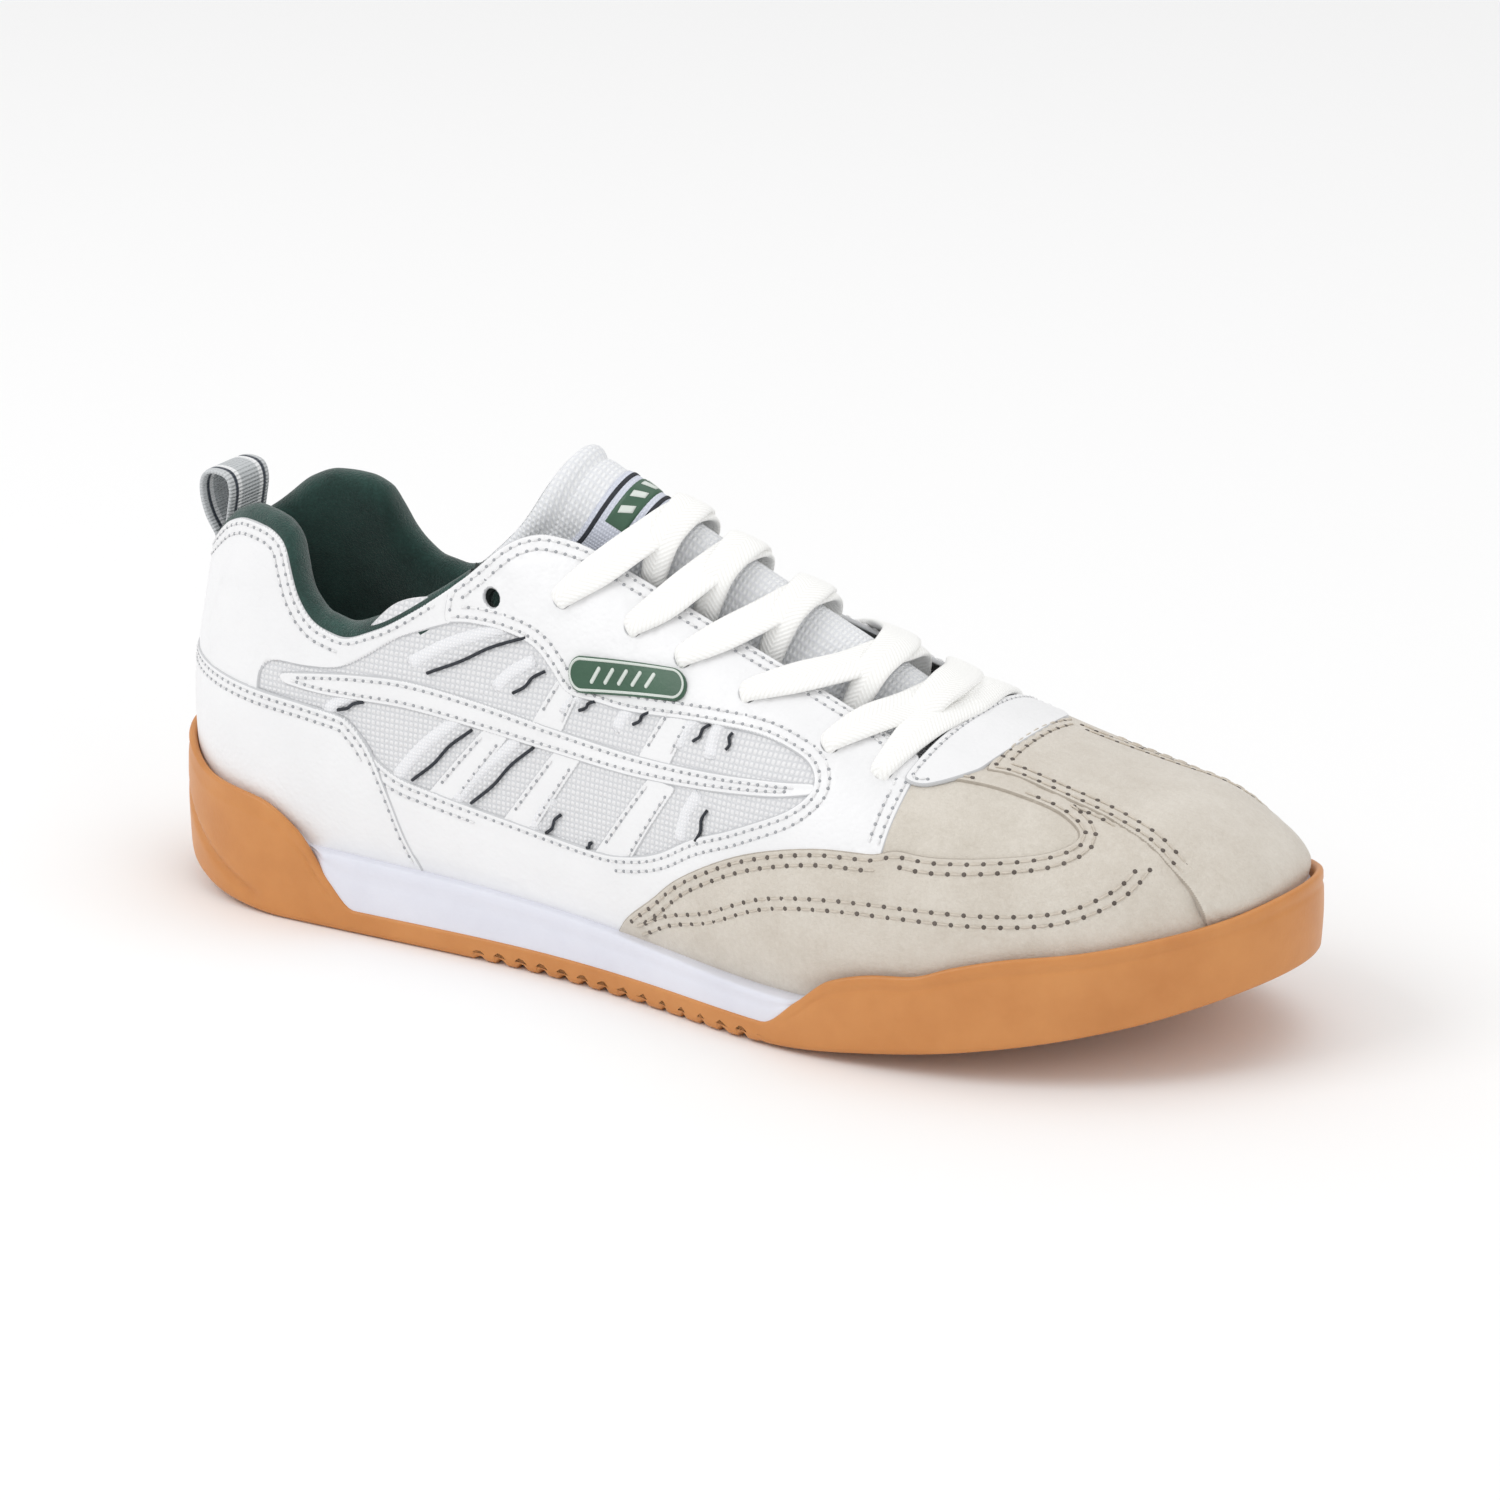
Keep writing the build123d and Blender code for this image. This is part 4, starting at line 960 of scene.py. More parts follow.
for kind, side in SIDES:
    loops = overlay_loops(kind)
    overlay = panel(f"quarter_overlay_{kind}", kind, loops, LEATHER, OVERLAY, 1.1, ROW, wave=0.12)
    dress(overlay, replaces=[f"eyestay_{kind}", f"side_foxing_{kind}"])
    sew(f"overlay_stitches_{kind}", kind, row_lines(kind, loops, ROW, overlay_keep), OVERLAY)

    loops = [chart_runs(kind, MESH_RUNS)]
    cloth = panel(f"mesh_panel_{kind}", kind, loops, MESH, MESH_LEVEL, 0.8, edge=0.3, spacing=2.2, dome=0.25)
    dress(cloth, replaces=[f"mesh_{kind}"])
    piping = tubes(f"mesh_piping_{kind}", [piping_rings(kind, *ends) for ends in PIPING], RIB, flip=side > 0)
    dress(piping, replaces=[f"mesh_ribs_{kind}"])
    dress(tubes(f"mesh_cords_{kind}", [cord_rings(kind, *ends) for ends in CORDS], BLACK_THREAD))

    # generic side cage: a curved rail with slanted struts to the window's edges
    loops = [chart_runs(kind, [RAIL_TOP, RAIL_LOW], soften=4)]
    rail = panel(f"side_cage_{kind}", kind, loops, LEATHER, CAGE, 1.1, CAGE_ROW, spacing=1.4)
    dress(rail, replaces=[f"side_cage_{kind}"])
    rows = row_lines(kind, loops, CAGE_ROW, lambda x, v, index: (x > -104) & (x < 42))
    sew(f"cage_stitches_{kind}", kind, rows, CAGE)
    for number, (x0, v0, x1, v1, half) in enumerate(STRUTS, 1):
        corners = [(x0 - half, v0), (x0 + half, v0), (x1 + half * 0.8, v1), (x1 - half * 0.8, v1)]
        loops = [chart_runs(kind, [[corners[i], corners[(i + 1) % 4]] for i in range(4)], soften=2)]
        strut = panel(f"cage_strut_{kind}_{number}", kind, loops, LEATHER, STRUT, 0.9, STRUT_ROW, spacing=1.5)
        dress(strut)
        rows = row_lines(kind, loops, STRUT_ROW, strut_keep(v0, v1))
        if rows:
            sew(f"strut_stitches_{kind}_{number}", kind, rows, STRUT)

    # suede mudguard, open round the vamp insert
    loops = [chart_runs(kind, GUARD_RUNS)]
    second = run_through(to_chart(kind, GUARD_SECOND), 1.0)
    extra = [second, offset(kind, second, -2.4, closed=False)]
    guard = panel(f"mudguard_{kind}", kind, loops, NUBUCK, GUARD, 1.1, ROW, extra, spacing=1.8)
    dress(guard, replaces=[f"mudguard_{kind}"])
    sew(f"guard_stitches_{kind}", kind, row_lines(kind, loops, ROW, guard_keep) + extra, GUARD, "suede")
    loops = [chart_runs(kind, [INSERT_RUN])]
    insert = panel(f"vamp_insert_{kind}", kind, loops, SUEDE_LIGHT, INSERT, 0.9, spacing=1.8, dome=0.5)
    dress(insert, replaces=["vamp_base"] if side < 0 else ())

# toe cap and throat bridge cross the ridge, so their outlines are (x, s)
cap_side = [(x, 1 - v) for x, v in SEAM_TOP]
cap_runs = [cap_side, [(139, 1.0), (143, 0.97), (146, 0.93)], [(146, 0.93), (146, -0.93)],
            [(146, -0.93), (143, -0.97), (139, -1.0)], [(x, -s) for x, s in cap_side[::-1]],
            [(80, -0.215), (79.2, -0.1), (79, 0.0), (79.2, 0.1), (80, 0.215)]]
loops = [chart_runs("top", cap_runs)]


def toe_swell(point):
    """The toe cap fills the cup at the toe."""
    return 2.8 * ease(point[:, 0], 126, 141) * ease(point[:, 2], 36, 41) * (1 - ease(point[:, 2], 42, 58))


cap = panel("toe_cap_panel", "top", loops, NUBUCK, TOE_CAP, 1.1, ROW, spacing=1.8, swell=toe_swell)
dress(cap, replaces=["toe_cap"])
rows = row_lines("top", loops, ROW, lambda x, s, index: (x < 134) & (np.abs(s) < 0.60))
sew("toe_cap_stitches", "top", rows, TOE_CAP, "suede")

bridge_runs = [[(65.2, 0.345), (70, 0.34), (75, 0.29), (79.5, 0.22)],
               [(79.5, 0.22), (81, 0.11), (81.5, 0.0), (81, -0.11), (79.5, -0.22)],
               [(79.5, -0.22), (75, -0.29), (70, -0.34), (65.2, -0.345)],
               [(65.2, -0.345), (66.4, -0.2), (67, 0.0), (66.4, 0.2), (65.2, 0.345)]]
loops = [chart_runs("top", bridge_runs)]
bridge = panel("throat_bridge_panel", "top", loops, LEATHER, BRIDGE, 1.1, ROW[:1], spacing=1.8)
dress(bridge, replaces=["throat_bridge"])
sew("bridge_stitches", "top", row_lines("top", loops, ROW[:1], lambda x, s, index: x < 71), BRIDGE)

# heel panels run round the heel, the same on both sides
BACK = -145.99
COLLAR_LOW = steady((-146, 0.30), (-113, 0.30), (-100, 0.325), (-90, 0.345), (-82, 0.385), (-74, 0.435),
                    (-66, 0.475), (-58, 0.515))
COLLAR_RUNS = ([(BACK, float(RIM(BACK)))] + rim_run(-144, -58), [(-58, 0.60), (-58, 0.515)],
               [(-58, 0.515), (-66, 0.475), (-74, 0.435), (-82, 0.385), (-90, 0.345), (-100, 0.325),
                (-109, 0.315),
                (-113, 0.295), (-113, 0.25), (-113, 0.23), (BACK, 0.23)])
FOXING_RUNS = ([(BACK, 0.262), (-120, 0.262), (-100, 0.268), (-87, 0.272)],
               [(-87, 0.272), (-80, 0.235), (-74, 0.155), (-70, 0.08), (-65, 0.0)], [(-65, 0.0), (BACK, 0.0)])
EMBOSS = ((-130, 0.27), (-134, 0.33), (-131, 0.385), (-122, 0.415), (-113, 0.43))


def heel_loops(runs):
    """Outline of one side's runs and the same, mirrored, on the other side."""
    return [closed_outline([to_chart("heel", run) for run in runs]
                           + [to_chart("heel", run[::-1], -1) for run in runs[::-1]])]


loops = heel_loops(COLLAR_RUNS)
emboss = [run_through(to_chart("heel", EMBOSS, mirror), 1.0) for mirror in (1, -1)]
patch = panel("heel_collar_panel", "heel", loops, LEATHER, HEEL_COLLAR, 1.0, ROW, spacing=1.5, wave=0.15,
              ribs=emboss)
dress(patch, replaces=["heel_patch"])
rows = row_lines("heel", loops, ROW, lambda x, v, index: (v > (COLLAR_LOW(x) + RIM(x)) / 2) & (x < -64))
sew("collar_stitches", "heel", rows, HEEL_COLLAR)

loops = heel_loops(FOXING_RUNS)
foxing = panel("heel_foxing_panel", "heel", loops, LEATHER, FOXING, 1.2, FOXING_ROW, spacing=1.9, wave=0.12)
dress(foxing, replaces=["heel_foxing"])
rows = row_lines("heel", loops, FOXING_ROW[:1], lambda x, v, index: v > 0.02)
rows += row_lines("heel", loops, FOXING_ROW[1:], lambda x, v, index: v > 0.20)
sew("foxing_stitches", "heel", rows, FOXING)

# ---------------------------------------------------------------- badge on the outer eyestay


BADGE_PLACE = (-9.5, 0.565)                 # middle of the badge, (x, v)
BADGE_TILT = math.radians(16)
BADGE_SIZE = (34.5, 8.0)
BADGE_BORDER = ((33.7, 7.2), (32.5, 6.0))   # outside and inside of the border
BADGE_DASH = (4.2, 1.1)
DASH_SHIFTS = (-9, -5, -1, 3, 7)
DASH_TURN = math.radians(52)


def pill(length, width, shift=0.0, count=64):
    """Chart loop of a rounded bar on the outer eyestay, tilted with the eyelet row."""
    centre = to_chart("outer", [BADGE_PLACE])[0]
    step = 0.5
    ahead, behind, above, under = [chart_place("outer", [centre + np.array(by)])[0]
                                   for by in ([step, 0], [-step, 0], [0, step], [0, -step])]
    along_bar = np.linalg.norm((ahead - behind)[0] / (2 * step))
    across_bar = np.linalg.norm((above - under)[0] / (2 * step))
    straight, radius = (length - width) / 2, width / 2
    loop = []
    for angle in np.arange(count) * 2 * math.pi / count:
        a = radius * math.cos(angle) + math.copysign(straight, math.cos(angle)) + shift
        a, b = turned(a, radius * math.sin(angle), BADGE_TILT)
        loop.append((a / along_bar, b / across_bar))
    return centre + np.array(loop)


def even_pill(size, spacing):
    loop = pill(*size)
    return even(np.vstack([loop, loop[:1]]), spacing)[:-1]


plate = panel("badge_plate", "outer", [even_pill(BADGE_SIZE, 0.8)], BADGE_GREEN, 1.15, 1.2, edge=0.5,
              spacing=1.2)
dress(plate, replaces=["badge"])
border_loops = [even_pill(size, 0.6) for size in BADGE_BORDER]
border = panel("badge_border", "outer", border_loops, BADGE_PALE, 1.45, 0.5, edge=0.25, spacing=1.2)
dress(border)
badge_middle = to_chart("outer", [BADGE_PLACE])[0]
for number, shift in enumerate(DASH_SHIFTS, 1):
    local = np.stack(turned(*(pill(*BADGE_DASH) - badge_middle).T, DASH_TURN), 1)
    local = local[::4] + badge_middle + (pill(1, 1, shift) - pill(1, 1)).mean(0)
    dash = panel(f"badge_mark_{number}", "outer", [local], BADGE_PALE, 1.4, 0.5, edge=0.15, spacing=0.8)
    dress(dash)

# ---------------------------------------------------------------- sole


def sole_outline(x, side):
    half = np.where(side < 0, SOLE_OUTER(x), SOLE_INNER(x))
    end = SHOE_LENGTH / 2
    return MIDLINE(x) + side * half * rounding(x + end, 44.0) * rounding(end - x, TOE_ROUND)


def sole_ring(count):
    """Points and outward directions round the sole, evenly spaced."""
    turn = np.linspace(0, 2 * np.pi, 4001)[:-1]
    x = -150 * np.cos(turn)
    side = np.where(np.sin(turn) >= 0, -1.0, 1.0)
    line = np.stack([x, sole_outline(x, side)], 1)
    line = even(np.vstack([line, line[:1]]), 1.0)
    length = np.linspace(0, len(line) - 1, count + 1)[:-1]
    base = np.arange(len(line))
    line = np.stack([np.interp(length, base, line[:, k]) for k in (0, 1)], 1)
    run = np.roll(line, -2, 0) - np.roll(line, 2, 0)
    run /= np.linalg.norm(run, axis=1)[:, None]
    return line, np.stack([run[:, 1], -run[:, 0]], 1)


RING = 560                  # points in each row round the sole
ring_at, ring_out = sole_ring(RING)
if (ring_out * ring_at).sum(1).mean() < 0:
    ring_out = -ring_out
x_ring = ring_at[:, 0]
low, high = UNDERSIDE(x_ring), GUM_TOP(x_ring)
heel_leaf = steady((-150, 31), (-144, 24), (-134, 15), (-124, 9), (-114, 4.5))
notch = 0.5 + 0.5 * np.sin(2 * np.pi * x_ring / 6.2)
notch = ease(notch, 0.70, 0.95) * ease(x_ring, -52, -46) * (1 - ease(x_ring, 34, 40))
wall = []
# (outward, rise) round the sole's lower edge, and (outward, drop) over the cup's lip
EDGE_PROFILE = ((-7.0, 0.0), (-4.5, 0.0), (-2.4, 0.0), (-1.2, 0.15), (-0.5, 0.5), (-0.1, 1.1), (0.0, 2.0))
LIP_PROFILE = ((0.0, 0.8), (-0.15, 0.35), (-0.5, 0.06), (-1.0, 0.0), (-1.5, 0.15), (-1.9, 0.6), (-2.3, 1.6),
               (-2.6, 3.0))
for out, rise in EDGE_PROFILE:
    z = low + rise + (notch * 1.3 if out > -6 else 0)
    wall.append((np.full(RING, out), z))
for share in np.linspace(0.08, 0.92, 22):
    z = low + 2.0 + share * (high - low - 3.0)
    bulge = 0.35 * np.sin(np.pi * share) * ease(high - low, 6, 16)
    groove = 1.2 * np.exp(-((z - heel_leaf(x_ring)) / 1.2)**2) * (1 - ease(x_ring, -115, -111))
    lip_line = 0.35 * np.exp(-((z - (high - 3.2)) / 0.55)**2) * ease(high - low, 8, 16)
    wall.append((bulge - groove - lip_line, z))
for out, drop in LIP_PROFILE:
    wall.append((np.full(RING, out), high - drop))
rows = [np.column_stack([ring_at + ring_out * out[:, None], z]) for out, z in wall]
points = np.vstack(rows)
faces = grid_faces(len(rows), RING, close_columns=True)

# underside: from the wall's first row to the middle line, with chevrons, a pivot ring and an arch bridge
UNDER_ROWS = 34
edge_row = rows[0]
middle_x = np.clip(edge_row[:, 0], -128, 122)
middle = np.column_stack([middle_x, MIDLINE(middle_x)])


def tread(x, y):
    """How far the tread's grooves rise above the ground, 0 to 1."""
    away = np.abs(y - MIDLINE(x))
    phase = (x + 0.8 * away) / 7.0
    chevron = ease(np.abs(phase - np.round(phase)), 0.20, 0.30)
    zone = ease(x, 38, 44) * (1 - ease(x, 126, 132)) + ease(x, -134, -130) * (1 - ease(x, -90, -84))
    pivot = np.hypot(x - 84, y - MIDLINE(84) + 2)
    rings = ease(np.abs(pivot / 6.5 - np.round(pivot / 6.5)), 0.28, 0.38)
    chevron = np.where(pivot < 23, rings, chevron)
    arch = ease(np.abs(x / 14.0 - np.round(x / 14.0)), 0.36,
                0.42) * ease(x, -74, -70) * (1 - ease(x, 26, 30)) * (1 - ease(away, 15, 17))
    return (1 - chevron) * zone + 0.7 * arch


under = []
for k in range(1, UNDER_ROWS + 1):
    share = 1 - (k / UNDER_ROWS)**0.9
    at = middle + share * (edge_row[:, :2] - middle)
    z = UNDERSIDE(at[:, 0]) + 1.5 * tread(at[:, 0], at[:, 1]) * min(1.0, k / 2)
    under.append(np.column_stack([at, z]))
first = len(points)
points = np.vstack([points] + under)
for k in range(UNDER_ROWS):
    outer_start = 0 if k == 0 else first + (k - 1) * RING
    inner_start = first + k * RING
    for j in range(RING):
        n = (j + 1) % RING
        faces.append((outer_start + n, outer_start + j, inner_start + j, inner_start + n))
# floor inside the cup, closing the rubber
last_wall = (len(rows) - 1) * RING
floor_rows = [np.column_stack([ring_at + ring_out * -3.0, UNDERSIDE(x_ring) + 4.2])]
for share in (0.66, 0.33, 0.0):
    at = middle + share * (ring_at - middle)
    floor_rows.append(np.column_stack([at, UNDERSIDE(at[:, 0]) + 4.2]))
floor_start = len(points)
points = np.vstack([points] + floor_rows)
previous = last_wall
for k in range(len(floor_rows)):
    here = floor_start + k * RING
    for j in range(RING):
        n = (j + 1) % RING
        faces.append((previous + j, previous + n, here + n, here + j))
    previous = here
gum = mesh("gum_outsole", points, faces, GUM)
dress(gum, replaces=["outsole"])

# midsole: a band flush with the sole's side at the arch, tucked inside the cup elsewhere
tuck = 0.6 + 2.4 * (1 - ease(x_ring, -98, -92)) + 2.4 * ease(x_ring, 46, 52)
foot = FEATHER(x_ring)
floor_z = np.maximum(high - 2.5, UNDERSIDE(x_ring) + 3.0)
band = [(-9.0, floor_z), (0.0, floor_z)]
for share in np.linspace(0.06, 0.9, 10):
    band.append((-0.18 * np.exp(-((share - 0.68) / 0.05)**2) * 2, floor_z + share * (foot + 1.0 - floor_z)))
band += [(-0.15, foot + 0.55), (-0.5, foot + 0.9), (-1.0, foot + 1.0), (-9.0, foot + 1.0)]
rows = [np.column_stack([ring_at + ring_out * (out - tuck)[:, None], z]) for out, z in band]
faces = grid_faces(len(rows), RING, close_rows=True, close_columns=True)
dress(mesh("midsole_band", np.vstack(rows), faces, FOAM_WHITE), replaces=["midsole"])

# ---------------------------------------------------------------- padded collar

FRONT_END = -57.0
turn = np.linspace(-1, 1, 261)
collar_q = np.abs(turn) * float(station(FRONT_END)) + 1e-6
collar_side = np.where(turn < 0, 1.0, -1.0)
collar_x = along(collar_q)
collar_rim = RIM(collar_x)
thin = 1 - 0.62 * ease(collar_x, -84, -56)
# (depth under the skin, way along it from the rim, lift) round the padded roll
COLLAR_SECTION = ((1.2, -5.0, 0.0), (1.0, -2.2, 0.0), (0.7, -0.4, 0.1), (0.9, 0, 1.3), (1.8, 0, 2.7),
                  (3.2, 0, 3.7),
                  (4.8, 0, 3.9), (6.4, 0, 3.3), (7.8, 0, 1.7), (8.7, -1.0, 0.0), (9.3, -4.0, 0.0),
                  (9.6, -8.0, 0.0), (9.4, -13.0, 0.0))
rows = []
for depth, along_skin, lift in COLLAR_SECTION:
    v = collar_rim + along_skin / GIRTH
    point, _, normal = skin_frame(collar_q, collar_side * (1 - v))
    above, _, _ = skin_frame(collar_q, collar_side * (1 - v - 0.01))
    up = above - point
    up /= np.linalg.norm(up, axis=1)[:, None]
    rows.append(point - (depth * thin)[:, None] * normal + (lift * thin)[:, None] * up)
for share in np.linspace(0.1, 1.0, 9):
    v = (collar_rim - 13.0 / GIRTH) * (1 - share) + 0.045 * share
    depth = 9.4 - 4.0 * ease(share, 0.3, 1.0) + 0.35 * np.sin(collar_x / 11.0) * np.sin(np.pi * share)
    point, _, normal = skin_frame(collar_q, collar_side * (1 - v))
    rows.append(point - (depth * thin)[:, None] * normal)
for share in np.linspace(1.0, 0.0, 8):
    v = (collar_rim - 6.0 / GIRTH) * (1 - share) + 0.045 * share
    point, _, normal = skin_frame(collar_q, collar_side * (1 - v))
    rows.append(point - (2.2 + 2.0 * ease(share, 0.2, 1.0)) * thin[:, None] * normal)
points = np.vstack(rows)
faces = grid_faces(len(rows), len(turn), close_rows=True)
count = len(turn)
for end in (0, count - 1):
    loop = [k * count + end for k in range(len(rows))]
    faces.append(tuple(loop if end else loop[::-1]))
collar = mesh("padded_collar", points, faces, PILE)
dress(collar, replaces=["collar_foam", "collar_lining"])

# ---------------------------------------------------------------- tongue


def tongue_depth(x, s):
    crest = TONGUE_CREST(x)
    tuck = 7.9 - 3.2 * ease(x, 48, 60)
    return crest + (tuck - crest) * ease(np.abs(s), 0.0, TONGUE_REACH(x))


def tongue_sheet(columns, rows_across, face):
    """Points of the tongue pad's upper (face 1) or lower (face 0) side."""
    a = np.linspace(0, 1, columns)[:, None] * np.ones((1, rows_across))
    b = np.ones((columns, 1)) * np.linspace(0, 1, rows_across)[None, :]
    share = 2 * b - 1
    back = -44.0 - 15.0 * share**2
    q = station(back) + a * (station(65.5) - station(back))
    x = along(q)
    s = TONGUE_HALF(x) * share
    filling = 6.4 - 2.4 * ease(np.abs(s), 0.1, 0.36)
    from_back = (x - back)
    from_side = (1 - np.abs(share)) * 36
    near_edge = np.minimum(from_back, from_side)
    swell = np.sqrt(np.maximum(1 - (1 - np.clip(near_edge / 3.2, 0, 1))**2, 0))
    top = tongue_depth(x, s)
    centre = top + filling / 2
    channel = 0.8 * np.exp(-((from_back - 6.0) / 0.9)**2) + 0.7 * np.exp(-((x + 13.0)
                                                                           / 0.8)**2) * (np.abs(share) < 0.7)
    puff = 0.7 * np.sin(np.clip(from_back / 6.0, 0, 1) * np.pi) + 0.15 * np.sin(x / 5.0 + 3
                                                                                * share) * np.sin(7 * share)
    depth = centre - (filling / 2) * swell - (puff - channel) * swell if face else centre + (filling
                                                                                             / 2) * swell
    point, _, normal = skin_frame(q, s)
    return point - depth[..., None] * normal, np.stack([x, share * 30], -1)


COLUMNS, ACROSS = 110, 61
upper, tongue_uv = tongue_sheet(COLUMNS, ACROSS, 1)
lower, _ = tongue_sheet(COLUMNS, ACROSS, 0)
top, under_side, walls = stacked_faces(COLUMNS, ACROSS)
faces = top + under_side + walls
indices = [0] * len(top) + [1] * len(under_side) + [0] * len(walls)
tongue = mesh("tongue_pad", np.vstack([upper.reshape(-1, 3), lower.reshape(-1, 3)]), faces,
              [TONGUE_CLOTH, PILE], indices,
              np.vstack([tongue_uv.reshape(-1, 2)] * 2) * 0.001)
dress(tongue, "tongue", ["tongue_face", "tongue_foam", "tongue_lining"])


def tongue_patch(name, x0, x1, half, lift, material, curl=0.0):
    """Strip sewn across the tongue, following its top."""
    columns, across = 12, 41
    a = np.linspace(0, 1, columns)[:, None] * np.ones((1, across))
    b = np.ones((columns, 1)) * np.linspace(-1, 1, across)[None, :]
    x = x0 + a * (x1 - x0) - curl * b**2
    s = half * b
    side = []
    for height in (lift, -0.4):
        near = np.minimum(np.minimum(a, 1 - a) * (x1 - x0), (1 - np.abs(b)) * half * 90)
        rounded = 0.3 * np.sqrt(np.maximum(1 - (1 - np.clip(near / 0.3, 0, 1))**2,
                                           0)) - 0.3 if height > 0 else 0
        point, _, normal = skin_frame(station(x), s)
        side.append((point - (tongue_depth(x, s) - 0.7 * 0.2 - height - rounded)[..., None]
                     * normal).reshape(-1, 3))
    faces = sum(stacked_faces(columns, across), [])
    uv = np.stack([x.ravel(), b.ravel() * half * GIRTH], 1) * 0.001
    return mesh(name, np.vstack(side), faces, material, uv=np.vstack([uv, uv]))


label = tongue_patch("tongue_label_strip", -31.5, -18.5, 0.185, 0.55, LABEL, 5.5)
dress(label, "tongue", ["tongue_label"])
for patch_name, x0, x1, half, lift, material, curl in (("label_line_upper", -30.3, -29.1, 0.183, 0.75,
                                                        BLACK_THREAD, 5.4),
                                                       ("label_line_lower", -20.9, -19.7, 0.183, 0.75,
                                                        BLACK_THREAD, 5.4),
                                                       ("label_band", -27.8, -22.2, 0.10, 0.8, BADGE_GREEN,
                                                        1.6)):
    dress(tongue_patch(patch_name, x0, x1, half, lift, material, curl), "tongue")
for number, shift in enumerate((-0.066, -0.033, 0.0, 0.033, 0.066), 1):
    columns, across = 6, 6
    a = np.linspace(0, 1, columns)[:, None] * np.ones((1, across))
    b = np.ones((columns, 1)) * np.linspace(-1, 1, across)[None, :]
    x = -26.6 + 3.2 * a - 1.6 * (shift / 0.10)**2
    s = shift + 0.006 * b + 0.012 * (a - 0.5)
    layers = []
    for height in (1.0, 0.3):
        point, _, normal = skin_frame(station(x), s)
        layers.append((point - (tongue_depth(x, s) - 0.14 - height)[..., None] * normal).reshape(-1, 3))
    faces = sum(stacked_faces(columns, across), [])
    dress(mesh(f"label_mark_{number}", np.vstack(layers), faces, BADGE_PALE), "tongue")

# ---------------------------------------------------------------- laces

LACE_WIDTH = 9.8
LACE_PINCHED = 4.6          # its width in an eyelet
LACE_SIDES = 16
LACE_TUCK = ((-31.5, 0.658, 4.8), (-29, 0.635, 6.0), (-24, 0.60, 6.4), (-14, 0.565, 7.2), (4, 0.55, 7.6),
             (22, 0.55, 7.6))      # x, v and depth of a free end under the eyestay


def lace_half(side, over):
    """Points, normals and widths from the middle of the bottom bar to one tucked end, as in the CAD."""
    frames = [place(64, side * 0.02, -1.2) + (LACE_WIDTH,), place(62, side * 0.16, -1.2) + (LACE_WIDTH,)]
    here = side
    for index in range(len(EYELETS) - 1, 0, -1):
        x, v = EYELETS[index]
        s = here * (1 - v)
        frames.append(place(x, s, -0.7) + (LACE_PINCHED + 0.8,))
        frames.append(place(x, s, 2.6) + (LACE_PINCHED,))
        if index == 1:
            break
        frames.append(place(x - 0.4, s * 0.985, 5.3) + (LACE_PINCHED,))
        frames.append(place(x - 0.6, s * 0.93, 6.1) + (LACE_PINCHED + 0.4,))
        span = EYELETS[index - 1][0] - x
        crest = float(TONGUE_CREST(x + 0.25 * span)) - 1.3
        crest = crest - 1.7 if over == (index % 2 == 0) else crest
        for share, s, depth, width in ((0.04, 0.240, 6.2, LACE_PINCHED + 1.0),
                                       (0.05, 0.190, 5.4, LACE_PINCHED + 1.4),
                                       (0.06, 0.105, 0.62 * crest, LACE_WIDTH - 1.6),
                                       (0.10, 0.0, crest, LACE_WIDTH),
                                       (0.28, -0.12, 0.60 * crest, LACE_WIDTH),
                                       (0.62, -0.235, -1.3, LACE_WIDTH - 0.6)):
            frames.append(place(x + share * span, here * s, depth) + (width,))
        here = -here
    for x, v, depth in LACE_TUCK:
        frames.append(place(x, here * (1 - v), depth) + (LACE_PINCHED - 0.4,))
    return frames


halves = [lace_half(-1, True), lace_half(1, False)]
route = halves[0][::-1] + halves[1]
knots = np.array([np.concatenate([f[0], f[1], [f[2]]]) for f in route])
lace_line = run_through(knots, 1.0)
centre, normals, widths = lace_line[:, :3], lace_line[:, 3:6], lace_line[:, 6]
centre = even(centre, 0.9)
share = np.linspace(0, 1, len(lace_line))
normals = np.stack([np.interp(np.linspace(0, 1, len(centre)), share, normals[:, k]) for k in range(3)], 1)
widths = np.interp(np.linspace(0, 1, len(centre)), share, widths)
tangents = np.gradient(centre, axis=0)
tangents /= np.linalg.norm(tangents, axis=1)[:, None]
reach = 5
ahead = np.array([centre[min(i + reach, len(centre) - 1)] - centre[max(i - reach, 0)]
                  for i in range(len(centre))])
flats = np.cross(normals, ahead)
flats /= np.linalg.norm(flats, axis=1)[:, None]
flats -= (flats * tangents).sum(1)[:, None] * tangents
flats /= np.linalg.norm(flats, axis=1)[:, None]
lifts = np.cross(tangents, flats)
length = np.concatenate([[0], np.cumsum(np.linalg.norm(np.diff(centre, axis=0), axis=1))])
rings, uv = [], []
for i in range(len(centre)):
    thick = 0.95 + 0.35 * (1 - (widths[i] - 4.0) / 6.0)
    ring = []
    for k in range(LACE_SIDES):
        angle = k * 2 * math.pi / LACE_SIDES
        across = math.copysign(abs(math.cos(angle))**0.7, math.cos(angle)) * widths[i] / 2
        rise = math.copysign(abs(math.sin(angle))**0.8, math.sin(angle)) * thick
        ring.append(centre[i] + across * flats[i] + rise * lifts[i])
        uv.append((length[i] * 0.001, across * 0.001))
    rings.append(ring)
lace = tubes("shoe_lace", [rings], LACE, flip=True, uv=uv)
dress(lace, replaces=["lace"])

# ---------------------------------------------------------------- pull loop

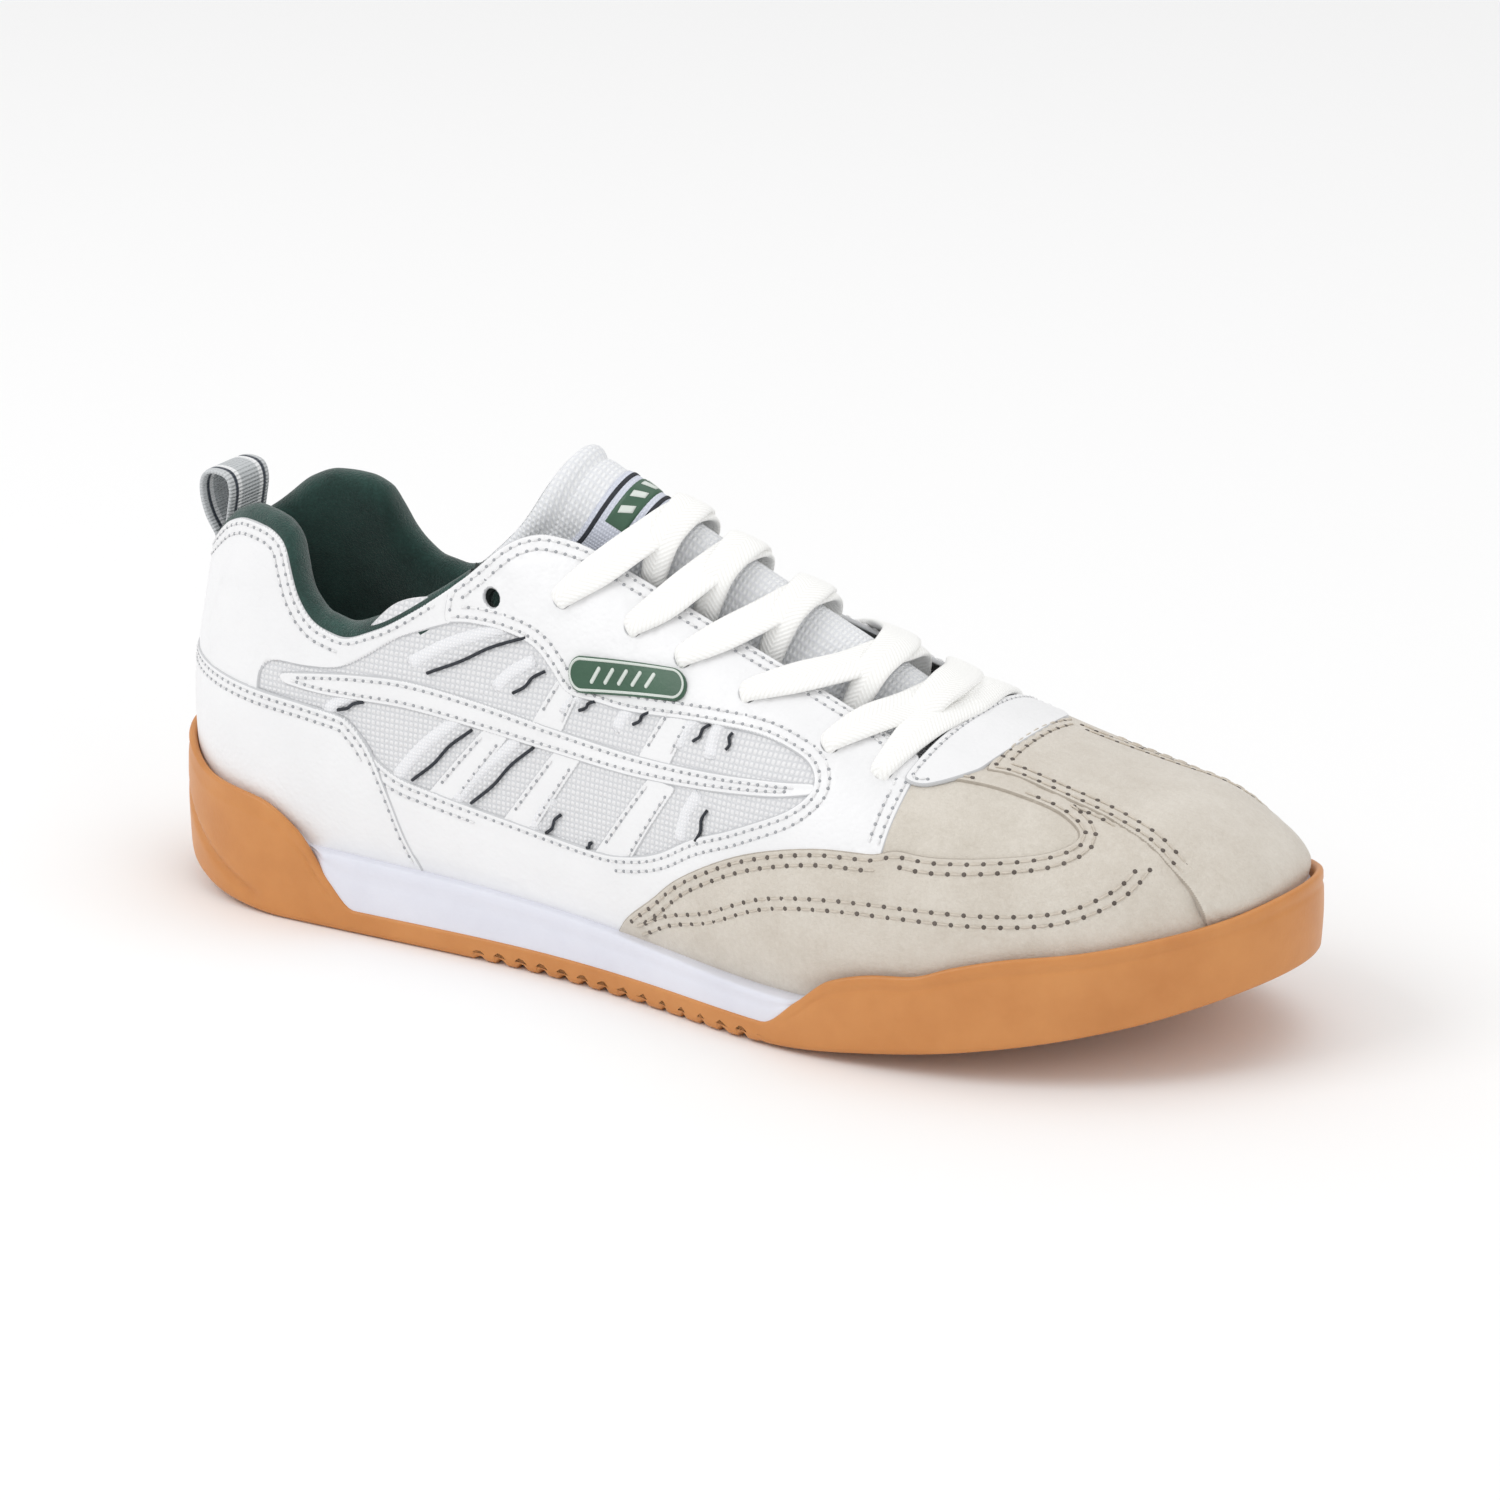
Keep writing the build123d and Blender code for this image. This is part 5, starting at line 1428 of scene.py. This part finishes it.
LOOP_X, LOOP_Z = -140.2, 85.2
LOOP_TURN = math.radians(6)
LOOP_PATH = ((-1.1, -2.2), (-1.3, 0.0), (-3.4, 4.5), (-4.4, 9.0), (-4.2, 13.0), (-2.6, 15.6), (0.6, 15.9),
             (3.6, 14.6), (4.3, 11.0), (2.9, 5.5), (1.4, 0.0), (1.1, -2.2))
path = run_through(LOOP_PATH, 0.8)
run = np.gradient(path, axis=0)
run /= np.linalg.norm(run, axis=1)[:, None]
out = np.stack([-run[:, 1], run[:, 0]], 1)
length = np.concatenate([[0], np.cumsum(np.linalg.norm(np.diff(path, axis=0), axis=1))])
LOOP_SECTION = ((-8.5, 0.0), (-8.2, 0.42), (-7.2, 0.62), (-3.5, 0.68), (0, 0.68), (3.5, 0.68), (7.2, 0.62),
                (8.2, 0.42),
                (8.5, 0.0), (8.2, -0.42), (7.2, -0.62), (3.5, -0.68), (0, -0.68), (-3.5, -0.68),
                (-7.2, -0.62),
                (-8.2, -0.42))
rings, uv = [], []
for i in range(len(path)):
    ring = []
    for y, thick in LOOP_SECTION:
        back, up = turned(*(path[i] + thick * out[i]), LOOP_TURN)
        ring.append((LOOP_X + back, 0.55 + y, LOOP_Z + up))
        uv.append((length[i] * 0.001, y * 0.001))
    rings.append(ring)
dress(tubes("webbing_loop", [rings], WEBBING, uv=uv), "heel_loop", ["pull_loop"])

# ---------------------------------------------------------------- studio

FLOOR_SIZE = 8.0
WORLD_STRENGTH = 0.76
LIGHT_AIM = Vector((0, 0, 0.05))
# place, size and power of each soft light
LIGHTS = {"key": ((-0.9, -1.1, 1.5), (1.2, 1.0), 10.5), "top": ((0.2, 0.4, 1.8), (1.6, 1.2), 5.0),
          "fill": ((1.5, -0.7, 0.8), (1.0, 0.9), 2.4)}
AZIMUTH, ELEVATION = math.radians(30), math.radians(19)
TARGET = Vector((0.006, 0.0, 0.052))
CAMERA_DISTANCE = 1.6
FOCAL_LENGTH, SENSOR_WIDTH = 160.8, 36.0

bpy.ops.mesh.primitive_plane_add(size=FLOOR_SIZE, location=(0, 0, 0))
floor = bpy.context.object
floor.name = "studio_floor"
floor_shade = Shade("studio_floor", (250, 250, 250), 0.9)
floor_shade.bump(floor_shade.noise(20.0), 0.0001, 0.1)
floor.data.materials.append(floor_shade.material)
floor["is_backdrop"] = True

world = bpy.data.worlds.new("studio")
bpy.context.scene.world = world
world.use_nodes = True
world.node_tree.nodes["Background"].inputs["Color"].default_value = (1.0, 1.0, 1.0, 1.0)
world.node_tree.nodes["Background"].inputs["Strength"].default_value = WORLD_STRENGTH


def soft_light(name, location, size, power):
    data = bpy.data.lights.new(name, "AREA")
    data.shape = "RECTANGLE"
    data.size, data.size_y = size
    data.energy = power
    lamp = bpy.data.objects.new(name, data)
    bpy.context.scene.collection.objects.link(lamp)
    lamp.location = location
    lamp.rotation_mode = "QUATERNION"
    lamp.rotation_quaternion = (LIGHT_AIM - Vector(location)).to_track_quat("-Z", "Y")


for light_name, settings in LIGHTS.items():
    soft_light(light_name, *settings)

away = Vector((math.sin(AZIMUTH) * math.cos(ELEVATION), -math.cos(AZIMUTH) * math.cos(ELEVATION),
               math.sin(ELEVATION)))
lens = bpy.data.cameras.new("camera")
lens.lens, lens.sensor_width = FOCAL_LENGTH, SENSOR_WIDTH
lens.clip_start, lens.clip_end = 0.05, 50.0
camera = bpy.data.objects.new("camera", lens)
bpy.context.scene.collection.objects.link(camera)
camera.location = TARGET + CAMERA_DISTANCE * away
camera.rotation_mode = "QUATERNION"
camera.rotation_quaternion = (-away).to_track_quat("-Z", "Y")
bpy.context.scene.camera = camera
bpy.context.scene.view_settings.view_transform = "Standard"

corners = [[list(corner) for corner in box] for box in (CAD_BOX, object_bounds())]
